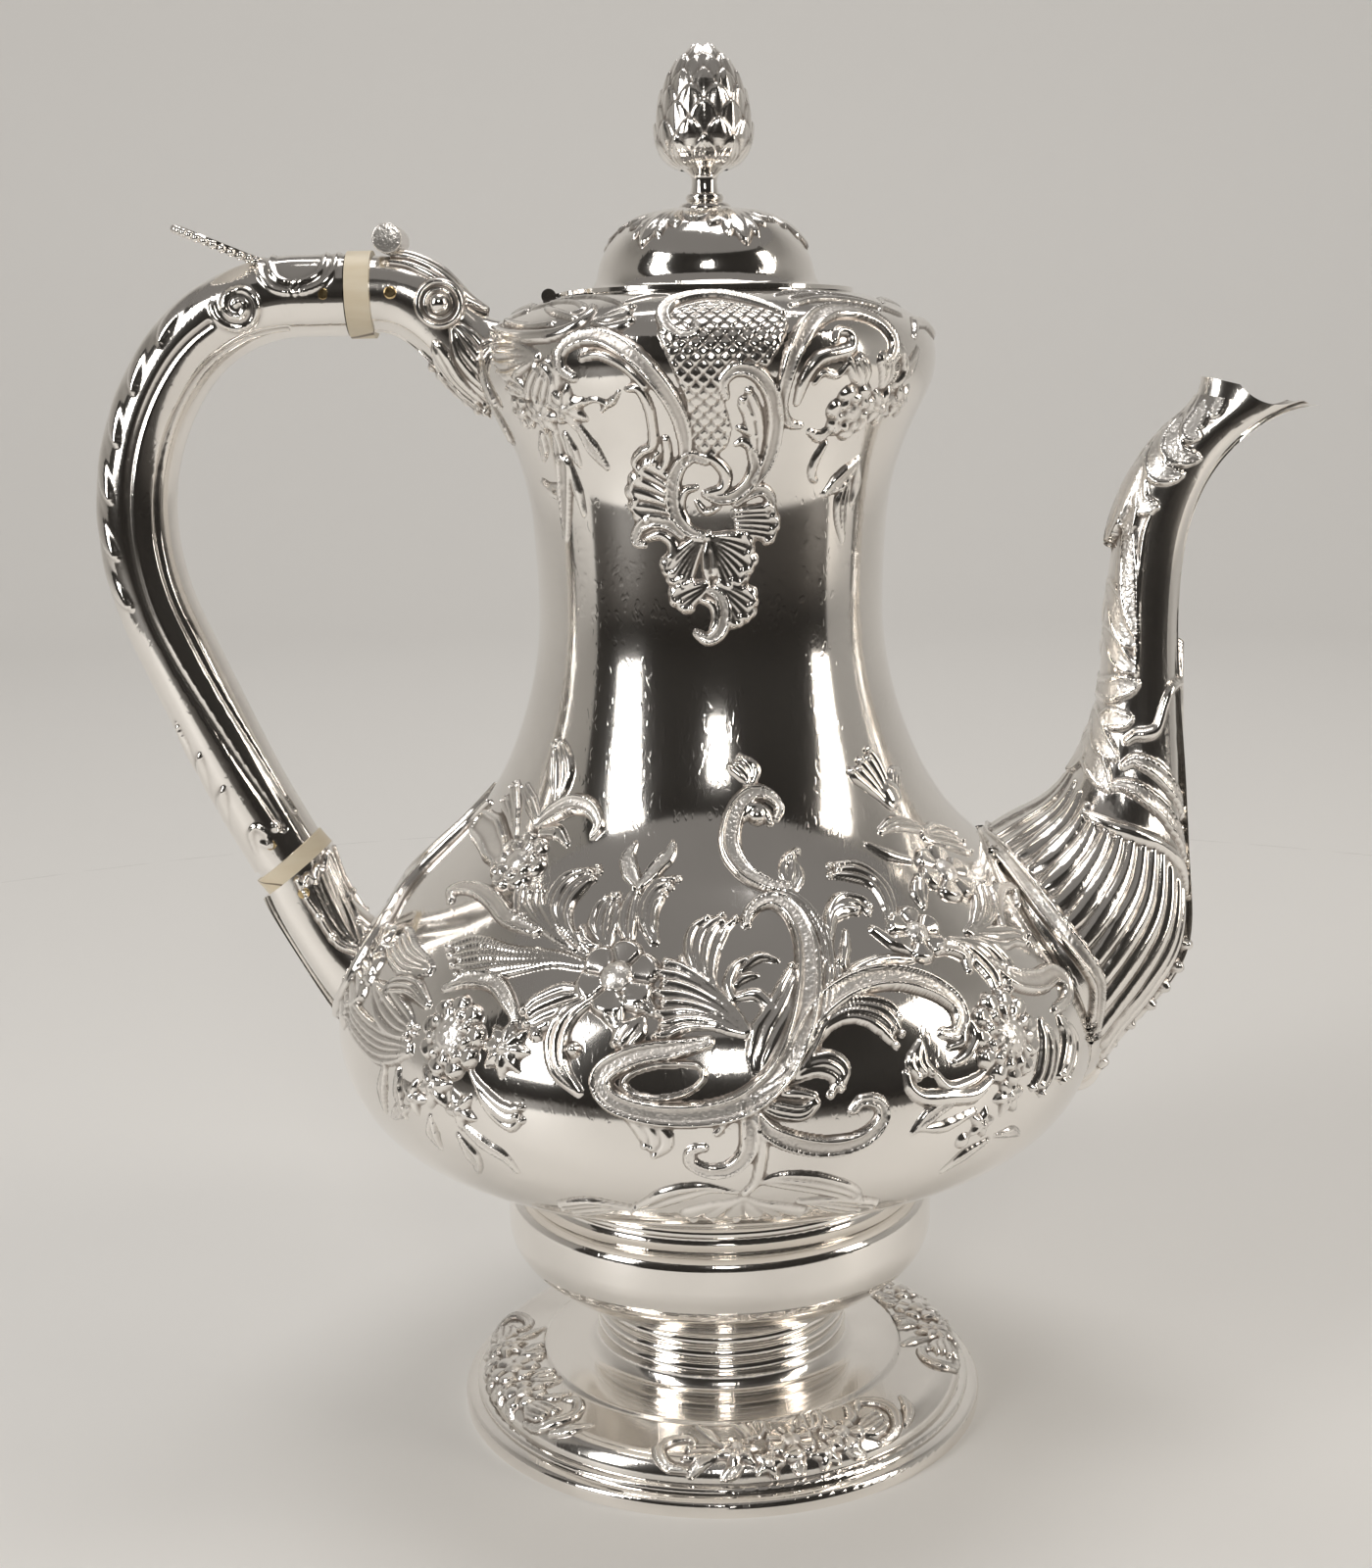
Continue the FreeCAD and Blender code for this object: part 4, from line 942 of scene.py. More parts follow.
# %% Belly: flowers and leaves towards the spout
def right_leaves(sheet):
    flower(sheet, (34.6, 92), 5.6, 6, 1.8, 0.3)
    plume(sheet, [(17.5, 88), (18.5, 94), (20.5, 98.5), (25, 99)],
          [(18, 90), (19.3, 98), (23, 102.5), (27.5, 101.5), (29, 98)], 4, 1.2)
    sheet.stroke([(19.3, 88), (21, 92.5), (21.7, 95)], [1.5, 2, 1], 1.0)
    plume(sheet, [(29, 94), (31, 99), (31, 104), (27.5, 106.5), (23, 107.5)],
          [(31, 93.5), (33.8, 99), (34, 105), (30.5, 109.5), (24, 110.3)], 4, 1.3)
    sheet.stroke([(27, 94.5), (29.5, 91), (32, 88.3)], [2, 3, 1.5], 1.3)
    plume(sheet, [(38.5, 89.2), (42.5, 85.2), (44, 80), (43.6, 76.4)],
          [(43.5, 89.6), (48.6, 86), (49.8, 80.4), (47, 76)], 5, 1.2)
    sheet.stroke([(37, 88), (40, 87.5), (41.8, 85), (41, 82.3)], [2, 3, 2.6, 1.4], 1.5, gutter)
    plume(sheet, [(46, 88), (51, 84.5), (55, 84), (57.5, 82.3)],
          [(46, 90), (52, 88.5), (57, 86.5), (60, 84)], 3, 1.2)
    sheet.stroke([(46, 82), (49, 77.5), (54, 75.3), (59, 75), (61.8, 72.3), (60, 69.3), (55.5, 68.8)],
                 [2, 4.5, 5, 4.6, 3.6, 2.8, 1.6], 1.8, gutter)
    plume(sheet, [(44.5, 90.4), (48.5, 91.6), (53, 94.8), (56, 99)],
          [(46.5, 88.8), (52.5, 89.8), (57.5, 92.6), (62, 96.8)], 4, 1.2)
    sheet.stroke([(55, 88), (58, 91.6), (64, 94.6), (69.5, 92.8), (66, 90)],
                 [1.5, 2.6, 2.8, 2.2, 1.2], 1.4, gutter)


def right_bouquet(sheet):
    flower(sheet, (42.5, 68), 8.2, 11, 2.2, 0.1, 0.5)
    plume(sheet, [(27, 71.5), (25.3, 68), (26, 64.8)], [(28.3, 71), (27.6, 67.5), (28.8, 65.3)], 3, 1.1)
    sheet.stroke([(24.6, 66), (25, 63), (27, 60.8), (31, 60), (35, 59.3), (38, 61)],
                 [1.2, 2, 2.8, 3, 3, 1.5], 1.3)
    sheet.stroke([(29, 64.8), (31, 61.8), (35, 62), (38, 63.5)], [0.8, 1.6, 1.6, 0.8], 0.9)
    sheet.stroke([(25, 54.5), (27.5, 57.3), (31, 58.8)], [0.8, 2.8, 1.5], 1.0, gutter)
    sheet.stroke([(26, 55.2), (30, 54.5), (35, 56)], [0.8, 2.2, 1], 0.8)
    star(sheet, (41.5, 57), 4.2, 6, 1.3)
    plume(sheet, [(49.6, 68.8), (50, 64), (48.5, 59.2), (46.5, 56.8)],
          [(52.5, 68), (53.5, 62.4), (52, 57.2), (49.5, 54)], 3, 1.2)
    plume(sheet, [(54.6, 67.6), (56.4, 63.2), (55.4, 59.6), (53.4, 56.4)],
          [(58, 66.8), (60, 61.2), (59, 56.8), (56.5, 53.2)], 4, 1.1)
    star(sheet, (36.5, 53), 3.2, 5, 1.1)
    sheet.stroke([(31.5, 43.5), (34.5, 46.5), (38.5, 48.5)], [0.8, 2.4, 1], 0.9, gutter)
    sheet.stroke([(40, 49), (43.5, 48.3), (45.8, 46.6)], [0.8, 2.2, 0.8], 0.9, gutter)
    sheet.boss((33.5, 50.3), 1.5, 0.9)
    flower(sheet, (51, 103), 6.4, 6, 1.9)
    plume(sheet, [(38.5, 97), (39.5, 101), (42.5, 104)], [(41, 97.5), (43, 101), (46, 104.5)], 3, 1.2)
    sheet.stroke([(35, 113.5), (39, 110.5), (44, 108)], [1, 3, 2], 1.1)
    sheet.stroke([(41, 115.5), (46, 116.3), (52, 114.8), (57, 112)], [1.5, 3.4, 3.2, 1.5], 1.3)
    plume(sheet, [(46, 120), (43, 124.5), (38, 128.5)], [(50, 119), (50, 127), (48, 132.5)], 5, 1.2)
    sheet.boss((50, 122.5), 3.2, 1.6)
    sheet.stroke([(52, 122), (55, 126), (58.5, 126.5)], [2, 3.5, 1.5], 1.2)
    plume(sheet, [(53, 110), (60, 108), (66, 104)], [(54, 114), (61, 113), (68, 109)], 4, 1.1)


spout_motifs = (right_leaves, right_bouquet)
print("motifs towards the spout:", len(spout_motifs))

# %% Belly: press the sheets
BELLY_UP = (30, 152)
BELLY_STEP = 0.3
SKIN = 0.06

belly_sheets = []
for name, across in (("belly_left", (-90, 0)), ("belly_right", (0, 90))):
    sheet = Sheet(name, vessel, across, BELLY_UP, BELLY_STEP)
    for motif in middle_motifs + handle_motifs + spout_motifs:
        motif(sheet)
    strainer = np.linalg.norm(sheet.point - np.array(STRAINER), axis=2) < STRAINER_REACH
    belly_sheets.append(sheet.finish(SKIN, "pot", CHASED, True, strainer))
    print(name, "points:", len(sheet.piece.data.vertices), "highest mark: %.1f mm" % sheet.rise.max())

# %% [markdown]
# ## The collar
# Neck and collar carry a second picture: a scale-filled shield between two C scrolls, shells
# hanging below it, flowers to both sides and a long scroll along the shoulder. The neck is slender,
# so the grid of its front is finer. The same tools draw it on the same chart, higher up.


# %% Scales and husks
def scales(sheet, outline, wide, tall, height):
    """Rows of lozenge scales in a panel, each leaning out over the row below."""
    a = sheet.u / wide + sheet.v / tall
    b = sheet.u / wide - sheet.v / tall
    a = a - np.floor(a) - 0.5
    b = b - np.floor(b) - 0.5
    border = 1 - 2 * np.maximum(abs(a), abs(b))
    cell = height * np.sqrt(np.clip(border / 0.3, 0, 1)) * (0.68 + 0.32 * (b - a))
    panel = sheet.inside(outline)
    sheet.raise_to(panel, cell[panel])


def husk(sheet, path, wide, height, section=blade):
    """A pointed scale that lies flat at its root and stands proud at its tip."""
    run = np.linspace(0, 1, FAN_POINTS)
    line = spread_evenly(flowing(path), FAN_POINTS)
    half = wide / 2 * np.interp(run, [0, 0.3, 0.55, 0.8, 0.93, 1], [0.8, 1, 0.98, 0.72, 0.42, 0.14])
    sheet.mark(line, half, height * (0.25 + 0.75 * run), section, 0.5 * (section is gutter))


print("scale tools: scales, husk")


# %% Collar: shield and shells
def shield(sheet):
    """The panel of scales, the shell above it and the C scrolls that frame it."""
    scales(sheet, [(-12, 217), (-9, 211.5), (-6, 205), (-5, 198), (-4.2, 194), (0, 192), (4.2, 194.5),
                   (5, 198), (3.5, 202), (2, 205.5), (2.5, 209.5), (8, 211), (13, 210.5), (16, 214.5),
                   (19, 219.5), (12, 223), (3, 225.5), (-4, 224), (-10, 221)], 3.4, 2.7, 0.75)
    sheet.stroke([(-33.5, 208.8), (-36.6, 210.5), (-36.5, 214), (-31.5, 216.3), (-25, 216), (-18, 213),
                  (-12, 207.8), (-8.3, 202), (-6.8, 196.5), (-7, 191.5)],
                 [1.5, 2.4, 3, 3.2, 3.4, 3.4, 3.4, 3.2, 3, 2], 1.3, gutter)
    sheet.stroke([(-31, 212.5), (-26, 213), (-20, 210.8), (-15.5, 207)], [1, 1.6, 1.6, 1.2], 0.8)
    sheet.stroke([(3.5, 204.5), (2.8, 207.5), (5.5, 209.8), (10, 209.3), (14, 205.8), (16.2, 200.5),
                  (16.6, 195.5), (15.3, 190.8), (12.5, 187.5)],
                 [1.2, 2, 2.4, 2.8, 3, 3, 3, 2.8, 2], 1.3, gutter)
    plume(sheet, [(12.5, 188.5), (13.5, 194), (12.5, 200), (9.5, 206)],
          [(11.5, 188.5), (11, 193.5), (9, 199.5), (6.5, 205)], 3, 0.8)
    for claw in ([(11, 200), (8.5, 201.5), (7, 203)], [(11.5, 196.5), (8.5, 197.8), (6.8, 198.2)],
                 [(12, 193), (8.5, 195.3), (6.5, 194.8)]):
        sheet.stroke(claw, [1.2, 1.6, 0.8], 0.8)
    sheet.stroke([(-3.5, 219.3), (-3, 217.2), (-6, 216.2), (-9.8, 218), (-11.5, 221.5), (-10, 225.5),
                  (-4, 228.5), (3, 229), (9, 227), (14, 224.5), (18.5, 221.5)],
                 [1.2, 1.8, 2.2, 2.6, 2.8, 2.8, 2.6, 2.6, 2.4, 2, 1.4], 1.1, gutter)


def shells(sheet):
    """The loops and fans that hang below the shield."""
    sheet.stroke([(-1.5, 191.5), (-5.5, 192.5), (-9.5, 190), (-11.3, 185.5), (-10.5, 181), (-7, 178),
                  (-2.5, 176.8)], [1.4, 2.4, 2.6, 2.8, 2.6, 2.4, 1.6], 1.2, gutter)
    sheet.stroke([(-4.5, 186.3), (-7.8, 185.5), (-9, 182.5), (-7.3, 179.8)], [1, 1.4, 1.4, 1], 0.8)
    sheet.stroke([(-3, 192.8), (1, 191.5), (4, 188.8), (3, 186), (-1, 185.3)], [1, 1.8, 2.2, 2, 1.2], 1.0)
    sheet.stroke([(10.5, 194), (12, 190.5), (10.5, 187), (6.5, 184.6), (2, 184), (-2, 185)],
                 [1.4, 2.4, 2.6, 2.4, 2, 1.2], 1.2, gutter)
    sheet.stroke([(2, 182.3), (-2, 181.5), (-4.5, 183.5)], [0.8, 1.4, 0.8], 0.8)
    shell(sheet, [(-10.5, 188), (-11.5, 184), (-10, 179)],
          [(-16, 191.5), (-21, 188), (-22.5, 183), (-19.5, 180)], 3, 1.0)
    sheet.stroke([(-9, 177), (-13, 179.3), (-18, 179.8), (-22, 178.5), (-23.7, 176), (-21, 175.2)],
                 [1.5, 2.4, 2.6, 2.4, 2, 1.2], 1.1, gutter)
    sheet.stroke([(-20, 176.5), (-15.5, 177.2), (-12, 175.5), (-12, 172.3), (-14.5, 170)],
                 [1.2, 1.8, 2, 2, 1.2], 0.9)
    sheet.stroke([(7, 183), (11, 185), (15, 185.5), (17.6, 183.3), (16.5, 181)],
                 [1.2, 2, 2.2, 2, 1.2], 1.1, gutter)
    shell(sheet, [(7, 182), (7.5, 177)], [(16.5, 182.5), (18.3, 179), (16.5, 175.6)], 3, 0.9)
    plume(sheet, [(-1.6, 177.5), (-2.6, 173), (-2.4, 168.5)],
          [(-0.4, 177.5), (1.2, 173), (1, 168.5)], 3, 1.0, 0)
    shell(sheet, [(-3, 177.5), (-3, 175)], [(-13, 172.8), (-12.5, 169.5), (-6.5, 168)], 3, 0.9)
    shell(sheet, [(0, 177), (-1, 174.5)], [(9.5, 177), (10.5, 172), (7, 168.5), (2, 167.8)], 4, 0.9)
    shell(sheet, [(-1.5, 168), (-1, 166.5)], [(-10.5, 167), (-11, 164.5), (-7, 162.8)], 2, 0.9)
    shell(sheet, [(1, 168), (0.8, 166.5)], [(10, 166.5), (11.5, 163.5), (8, 160.8), (4.5, 160.3)], 3, 0.9)
    sheet.stroke([(-1.5, 166.5), (2.2, 165), (3.3, 161.5), (1.8, 158.2), (-1.8, 156.8), (-5.3, 158)],
                 [1.5, 2.4, 2.8, 2.6, 2.2, 1.2], 1.1, gutter)
    sheet.stroke([(-3.5, 164.5), (-0.3, 163.5), (0.8, 161), (-0.5, 158.8)], [1, 1.4, 1.4, 0.8], 0.8)
    sheet.stroke([(-20, 206.5), (-17, 206.5), (-15.3, 203), (-15, 198.5), (-15.8, 194.8), (-19, 193.5),
                  (-21.5, 191.5), (-20.8, 189.8)], [0.8, 1.6, 1.8, 1.8, 1.8, 1.8, 1.6, 1], 1.0)
    sheet.stroke([(-12, 196), (-12, 192.5), (-14, 190), (-16, 191.3), (-15, 193)],
                 [1.5, 1.8, 1.6, 1.4, 1], 0.9)
    sheet.stroke([(-33, 203.5), (-29, 204.5), (-25, 203.5), (-22, 206)], [0.6, 0.9, 0.9, 0.6], 0.6)
    sheet.stroke([(-28, 202), (-24, 204.5)], [0.6, 0.9], 0.6)


shield_motifs = (shield, shells)
print("motifs of the front:", len(shield_motifs))


# %% Collar: shoulder scrolls and sprays
def shoulder(sheet):
    """The long scrolls that run along the shoulder to both sides."""
    sheet.stroke([(23.5, 198.3), (20, 199), (17.6, 202), (17.3, 207), (19.3, 213), (24, 218), (31, 221.3),
                  (39, 221.5), (46, 219), (49.3, 215), (47.5, 211.8), (44.3, 211.8)],
                 [1.2, 1.8, 2.4, 3, 3.4, 3.6, 3.8, 3.8, 3.6, 3, 2.4, 1.4], 1.4, gutter)
    sheet.stroke([(21.3, 203), (22.3, 208), (25.5, 211.5), (30.5, 212.5), (34.5, 213.5), (35, 216),
                  (31.8, 216.8), (30, 214.8)], [1.2, 2, 2.4, 2.4, 2.2, 2, 1.6, 1], 1.1)
    sheet.stroke([(25, 207), (27, 209), (31, 208.5), (34, 211)], [0.7, 1, 1, 0.7], 0.7)
    sheet.stroke([(-74, 219.3), (-62, 217.8), (-50, 217), (-40, 217.2), (-34, 219), (-31.8, 222),
                  (-33.5, 225)], [2, 2.4, 2.6, 2.8, 2.8, 2.4, 1.4], 1.1)
    sheet.stroke([(-70, 222), (-60, 220.3), (-50, 219.3), (-42, 219.8)], [1, 1.4, 1.4, 1], 0.7)
    plume(sheet, [(-44, 214.5), (-52, 215.5), (-59, 216), (-66, 216)],
          [(-44, 211.5), (-51, 210.5), (-57, 209.5), (-62, 210.5)], 4, 0.9)
    plume(sheet, [(-42, 213), (-47, 209), (-51, 205.5)], [(-38.5, 211.5), (-40.5, 207), (-44, 203)], 4, 0.9)
    plume(sheet, [(-30, 219), (-25, 218), (-19, 219)], [(-29, 220.5), (-25, 222.5), (-21, 225)], 3, 0.8)
    sheet.stroke([(-36, 221), (-45, 223.5), (-53, 226)], [1.2, 2, 1], 0.8)
    sheet.stroke([(60, 216), (66, 219), (74, 219), (82, 217), (90, 218)], [1.2, 2.4, 2.6, 2.4, 2], 1.0)
    sheet.stroke([(22, 224), (32, 226.5), (44, 226), (54, 223.5), (60, 221)], [1, 1.6, 1.8, 1.6, 1], 0.8)
    for path in ([(-62, 226), (-52, 228.5), (-42, 227.5), (-36, 224.5), (-39, 222.5), (-44, 223.5)],
                 [(-58, 229), (-48, 231), (-38, 230.5), (-30, 228), (-24, 225), (-26, 222.8)],
                 [(-24, 226.5), (-18, 229.5), (-12, 229.5)],
                 [(20, 229), (28, 231), (38, 230.5), (48, 228), (56, 224.5), (52, 222.5)],
                 [(24, 227.5), (32, 229), (40, 228)],
                 [(-89, 225), (-78, 228), (-68, 228), (-63, 225), (-67, 223)],
                 [(62, 226), (70, 228.5), (80, 228), (89, 225)]):
        sheet.stroke(path, [0.7, 1.1, 1.1, 0.7], 0.55)
    husk(sheet, [(-88, 217), (-80, 214), (-73, 208), (-70, 203)], 5.0, 1.5)
    husk(sheet, [(-89, 211), (-83, 206), (-78, 200), (-76, 195)], 4.4, 1.3)


def sprays(sheet):
    """Flowers, buds and leaves under the shoulder scrolls."""
    star(sheet, (-38, 203), 4.8, 7, 1.3, 0.3)
    star(sheet, (-47.5, 201.5), 4.4, 7, 1.2, 0.7)
    flower(sheet, (-56, 202), 3.2, 6, 1.2)
    plume(sheet, [(-41, 206), (-43, 209), (-46, 211)], [(-38, 207), (-38, 210), (-40, 212.4)], 3, 0.8)
    plume(sheet, [(-49, 206), (-52, 208.6), (-56, 209.6)], [(-51, 204.6), (-55, 206), (-59, 206.6)], 3, 0.8)
    sheet.stroke([(-36.5, 199), (-34, 194.5), (-30.5, 190.2)], [1.5, 3, 1], 0.9, gutter)
    for leaf in ([(-42, 197), (-41, 193), (-40, 190.8)], [(-46, 197), (-47, 192.5), (-46, 189.5)],
                 [(-52, 197), (-54, 193.5), (-56, 191.8)]):
        sheet.stroke(leaf, [1.4, 2.6, 1], 0.9, gutter)
    sheet.stroke([(-46, 191), (-48, 186.5), (-50, 181.5), (-51.5, 176)], [4, 3.6, 3, 1.5], 1.2, gutter)
    sheet.stroke([(-44, 190), (-43, 185.5), (-42, 181)], [2, 2.6, 1.2], 0.9)
    sheet.stroke([(-48, 187), (-54, 185.3), (-60, 187)], [1.5, 3, 1.4], 1.0)
    flower(sheet, (38, 201), 5.2, 7, 1.5, 0.3)
    star(sheet, (48, 202), 4.4, 7, 1.25, 0.5)
    star(sheet, (56, 203), 3.8, 6, 1.2)
    plume(sheet, [(38, 206), (35, 209), (33.4, 211.4)], [(41, 206), (40, 209.4), (37.6, 212)], 3, 0.8)
    plume(sheet, [(45, 206), (45, 209), (43.4, 211.4)], [(48, 206), (49, 208.6), (48.6, 211)], 3, 0.8)
    sheet.stroke([(33, 197.5), (30, 196), (26.5, 197)], [1.5, 2.2, 1], 0.9, gutter)
    sheet.stroke([(32.5, 194.5), (30.3, 191), (30, 188), (31.5, 187)], [1.2, 1.8, 1.8, 1], 0.8)
    sheet.stroke([(35.5, 184.3), (40, 186.5), (45, 189.5), (47, 191)], [1.2, 3.4, 3.2, 1.2], 1.1, gutter)
    sheet.stroke([(44, 187), (42.5, 182.5), (43.3, 178), (44.8, 174.5)], [2, 3.6, 3, 1], 1.2)
    sheet.stroke([(47, 190), (48.5, 186), (47.5, 182)], [1.4, 2.4, 1], 0.9)
    sheet.stroke([(52, 206.5), (56, 209.5), (60.5, 213.3)], [1.4, 3.4, 1.2], 0.9, gutter)
    sheet.stroke([(49, 211), (52, 213), (54, 210), (53, 206.5)], [1.2, 2.2, 2.2, 1], 0.9)


shoulder_motifs = (shoulder, sprays)
print("motifs of the shoulder:", len(shoulder_motifs))

# %% Collar: press the sheets, and copy belly and collar to the far side
COLLAR_UP = (152, 234.5)
COLLAR_PARTS = {
    # name: (degrees across, step)
    "collar_left": ((-90, -28), 0.34),
    "collar_front": ((-28, 28), 0.26),
    "collar_right": ((28, 90), 0.34),
}


def far_side(piece, body):
    """A mirrored copy behind the pot, turned right side out."""
    select_only(piece)
    bpy.ops.object.duplicate()
    copy = bpy.context.object
    copy.name = piece.name + "_far"
    copy.data.name = copy.name
    bpy.ops.object.mode_set(mode="EDIT")
    bpy.ops.mesh.select_all(action="SELECT")
    bpy.ops.transform.resize(value=(1, -1, 1), center_override=(0, 0, 0))
    bpy.ops.mesh.flip_normals()
    bpy.ops.object.mode_set(mode="OBJECT")
    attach(copy, body)


collar_sheets = []
for name, (across, step) in COLLAR_PARTS.items():
    sheet = Sheet(name, vessel, across, COLLAR_UP, step)
    for motif in shield_motifs + shoulder_motifs:
        motif(sheet)
    collar_sheets.append(sheet.finish(SKIN, "pot", CHASED, True))
    print(name, "points:", len(sheet.piece.data.vertices))
for piece in belly_sheets + collar_sheets:
    far_side(piece, "pot")

# %% [markdown]
# ## Lid and finial
# Six pointed leaves hang from the finial over the dome of the lid, and the bud of the finial is
# covered in scales that overlap like those of a pine cone. Each scale lies flat at its root and
# stands proud at its tip, so every row casts a small step on the next.

# %% Lid leaves and finial scales
LID_LEAVES = 6
FIRST_LEAF = 22
LOBES = [
    # path aside from the middle of its leaf, width, height
    ([(4, 23), (6, 17), (9.5, 12.2)], 3.4, 0.8),
    ([(10, 23), (13, 18.5), (19.5, 14.8)], 3.4, 0.75),
    ([(22, 23), (25, 19.5), (28, 16.5)], 3.0, 0.7),
]
SCALE_ROW = 3.3

dome = Turned([(25.6, 242.1, 180), (22.3, 245.7, 100), (7, 258.1, 180)])
sheet = Sheet("lid_leaves", dome, (-180, 180), (3.2, 26.2), 0.33)
for leaf in range(LID_LEAVES):
    middle = FIRST_LEAF + leaf * 360 / LID_LEAVES
    for angle in (middle, middle - 360):
        husk(sheet, [(angle, 25), (angle, 17), (angle, 10.3)], 5.4, 0.95)
        for path, wide, tall in LOBES:
            for way in (-1, 1):
                husk(sheet, [(angle + aside * way, out) for aside, out in path], wide, tall)
sheet.finish(SKIN, "lid", CHASED, True)
print("lid points:", len(sheet.piece.data.vertices))

bud = Turned([(4.8, 266.4, 15), (9.4, 272.6, 90), (0.94, 290, 150)])
sheet = Sheet("bud_scales", bud, (-180, 180), (0, bud.along[-1] - 0.05), 0.22)
for row in range(8):
    root = 0.4 + row * SCALE_ROW
    around, reach = (10, 7.0) if row < 6 else (6, 4.6)
    radius = np.interp(root + reach * 0.4, bud.along, abs(bud.outline.real))
    for scale in range(-1, around + 1):
        angle = -180 + 360 * (scale + 0.5 * (row % 2)) / around
        end = min(root + reach, bud.along[-1] - 0.3)
        husk(sheet, [(angle, root), (angle, end)], min(math.tau * radius / around * 1.12, 6.4), 0.95)
sheet.finish(0.1, "lid", CHASED)
print("bud points:", sheet.u.size)

# %% [markdown]
# ## Foot
# Four sprays of flowers and leaves lie round the foot with plain polished panels between them. One
# spray is written down as paths, and a loop sets it down again every quarter turn. The loop begins
# one spray early and ends one late, so that no spray is cut off at the seam of the sheet.

# %% Foot sprays
FIRST_SPRAY = 15
SPRAY_LEAVES = [
    [(-17, 10), (-19.5, 13), (-23, 15.4)], [(-9, 11), (-9.5, 13.6), (-12, 15.8)],
    [(-3, 13), (-3.5, 14.6), (-5, 16)], [(5, 12.6), (6.5, 14.4), (8, 16)],
    [(11, 11), (13, 13.6), (14, 15.8)], [(18, 9.6), (21, 11.5), (22.5, 14.6)],
    [(-18, 5.4), (-21, 4), (-23, 1.6)], [(-12, 3.6), (-14, 2.4), (-16, 1.2)],
    [(13, 3.4), (15, 2.4), (17, 1.2)], [(31, 3.4), (35, 5.6), (38.5, 9.4)], [(1, 3.6), (1, 2), (1.5, 0.9)],
]
SPRAY_PLUMES = [
    ([(-16.5, 5), (-20, 5.4), (-24.5, 4.6)], [(-16.5, 8), (-20, 8.8), (-24, 8.2)]),
    ([(18, 4.4), (21.5, 4.2), (26, 4.8)], [(18.5, 8), (22, 8.6), (27.5, 9.4)]),
    ([(-8.5, 10.6), (-9, 13), (-10.5, 15.6)], [(-5, 11.6), (-4.6, 13.6), (-4, 16)]),
    ([(6, 11.4), (6.6, 13.4), (7, 15.8)], [(9.6, 10.6), (11.4, 12.6), (13, 15.4)]),
]
SPRAY_SCROLLS = [
    ([(-24, 2.6), (-28.5, 3.4), (-31, 6.6), (-29, 10), (-24.5, 11.2), (-22.5, 9)],
     [1, 1.8, 2.2, 2.2, 1.8, 1]),
    ([(22, 2.4), (27, 3.2), (31, 7), (31.5, 11), (27.5, 14), (24, 12.6)], [1, 1.8, 2.4, 2.4, 2, 1]),
]


def turned_by(middle, path):
    """A path moved round the foot."""
    return [(middle + u, v) for u, v in path]


foot = Turned([(53.8, 5, 90), (41.0, 10.6, 172), (39.5, 11.4, 172), (27, 15, 90)])
sheet = Sheet("foot_sprays", foot, (-180, 180), (0.4, 16.6), 0.32)
for spray in range(-1, 5):
    middle = FIRST_SPRAY - 180 + 90 * spray
    flower(sheet, (middle + 1, 8.6), 4.8, 6, 1.5, 0.4)
    star(sheet, (middle - 12.5, 7.6), 4.6, 7, 1.4)
    flower(sheet, (middle + 14, 7.4), 4.2, 6, 1.4, 0.7)
    star(sheet, (middle - 5.5, 3.8), 3.4, 5, 1.1)
    star(sheet, (middle + 8, 3.6), 3.4, 5, 1.1, 0.5)
    for one, other in SPRAY_PLUMES:
        plume(sheet, turned_by(middle, one), turned_by(middle, other), 4, 1.0)
    for scroll, widths in SPRAY_SCROLLS:
        sheet.stroke(turned_by(middle, scroll), widths, 1.2, gutter)
    for leaf in SPRAY_LEAVES:
        sheet.stroke(turned_by(middle, leaf), [1.2, 2.4, 0.9], 1.0, gutter)
sheet.finish(SKIN, "pot", CHASED, True)
print("foot points:", len(sheet.piece.data.vertices))

# %% [markdown]
# ## Spout
# The spout grows out of a fluted shell, is gripped by a band of curling leaf, and climbs to the
# mouth with overlapping leaves on its inner side; its front is plain and polished. The chart is
# degrees round each oval section from the inner side, and ten to every station along the spout.
# The grid is drawn onto the CAD surface, so the sheet follows it exactly.


# %% Spout: ovals
class Lofted:
    """Ovals lofted through stations. Chart is degrees round from the upper edge, ten to a station."""

    def __init__(self, stations):
        stations = np.array(stations, float)
        self.line = np.stack([flowing(stations[:, [column]], 20)[:, 0] for column in range(5)], -1)
        self.along = np.linspace(0, 10 * (len(stations) - 1), len(self.line))

    def __call__(self, degrees, along):
        degrees, along = np.broadcast_arrays(degrees, along)
        low_x, low_z, top_x, top_z, half = (np.interp(along, self.along, column) for column in self.line.T)
        turn = np.radians(degrees)
        across = (1 + np.cos(turn)) / 2
        return np.stack([low_x + (top_x - low_x) * across, -half * np.sin(turn),
                         low_z + (top_z - low_z) * across], -1)


spout = Lofted([
    # lower x, lower z, upper x, upper z, half width
    (70, 72, 56, 125.5, 31), (83.8, 78, 64, 129.1, 32), (93.5, 89.5, 70.5, 132.7, 27),
    (101.4, 101.5, 75.5, 137.5, 20.5), (102.1, 118, 79.3, 145, 14.5), (100.8, 141, 82.2, 155, 10.2),
    (99.1, 163, 83.4, 168, 8.2), (99, 180, 84.2, 181, 7.4), (102, 197, 86.9, 198, 7.2),
    (109.5, 208.8, 93.5, 211, 7.0), (126.5, 216.8, 102.6, 223.2, 6.2),
])
print("spout points:", len(spout.line))

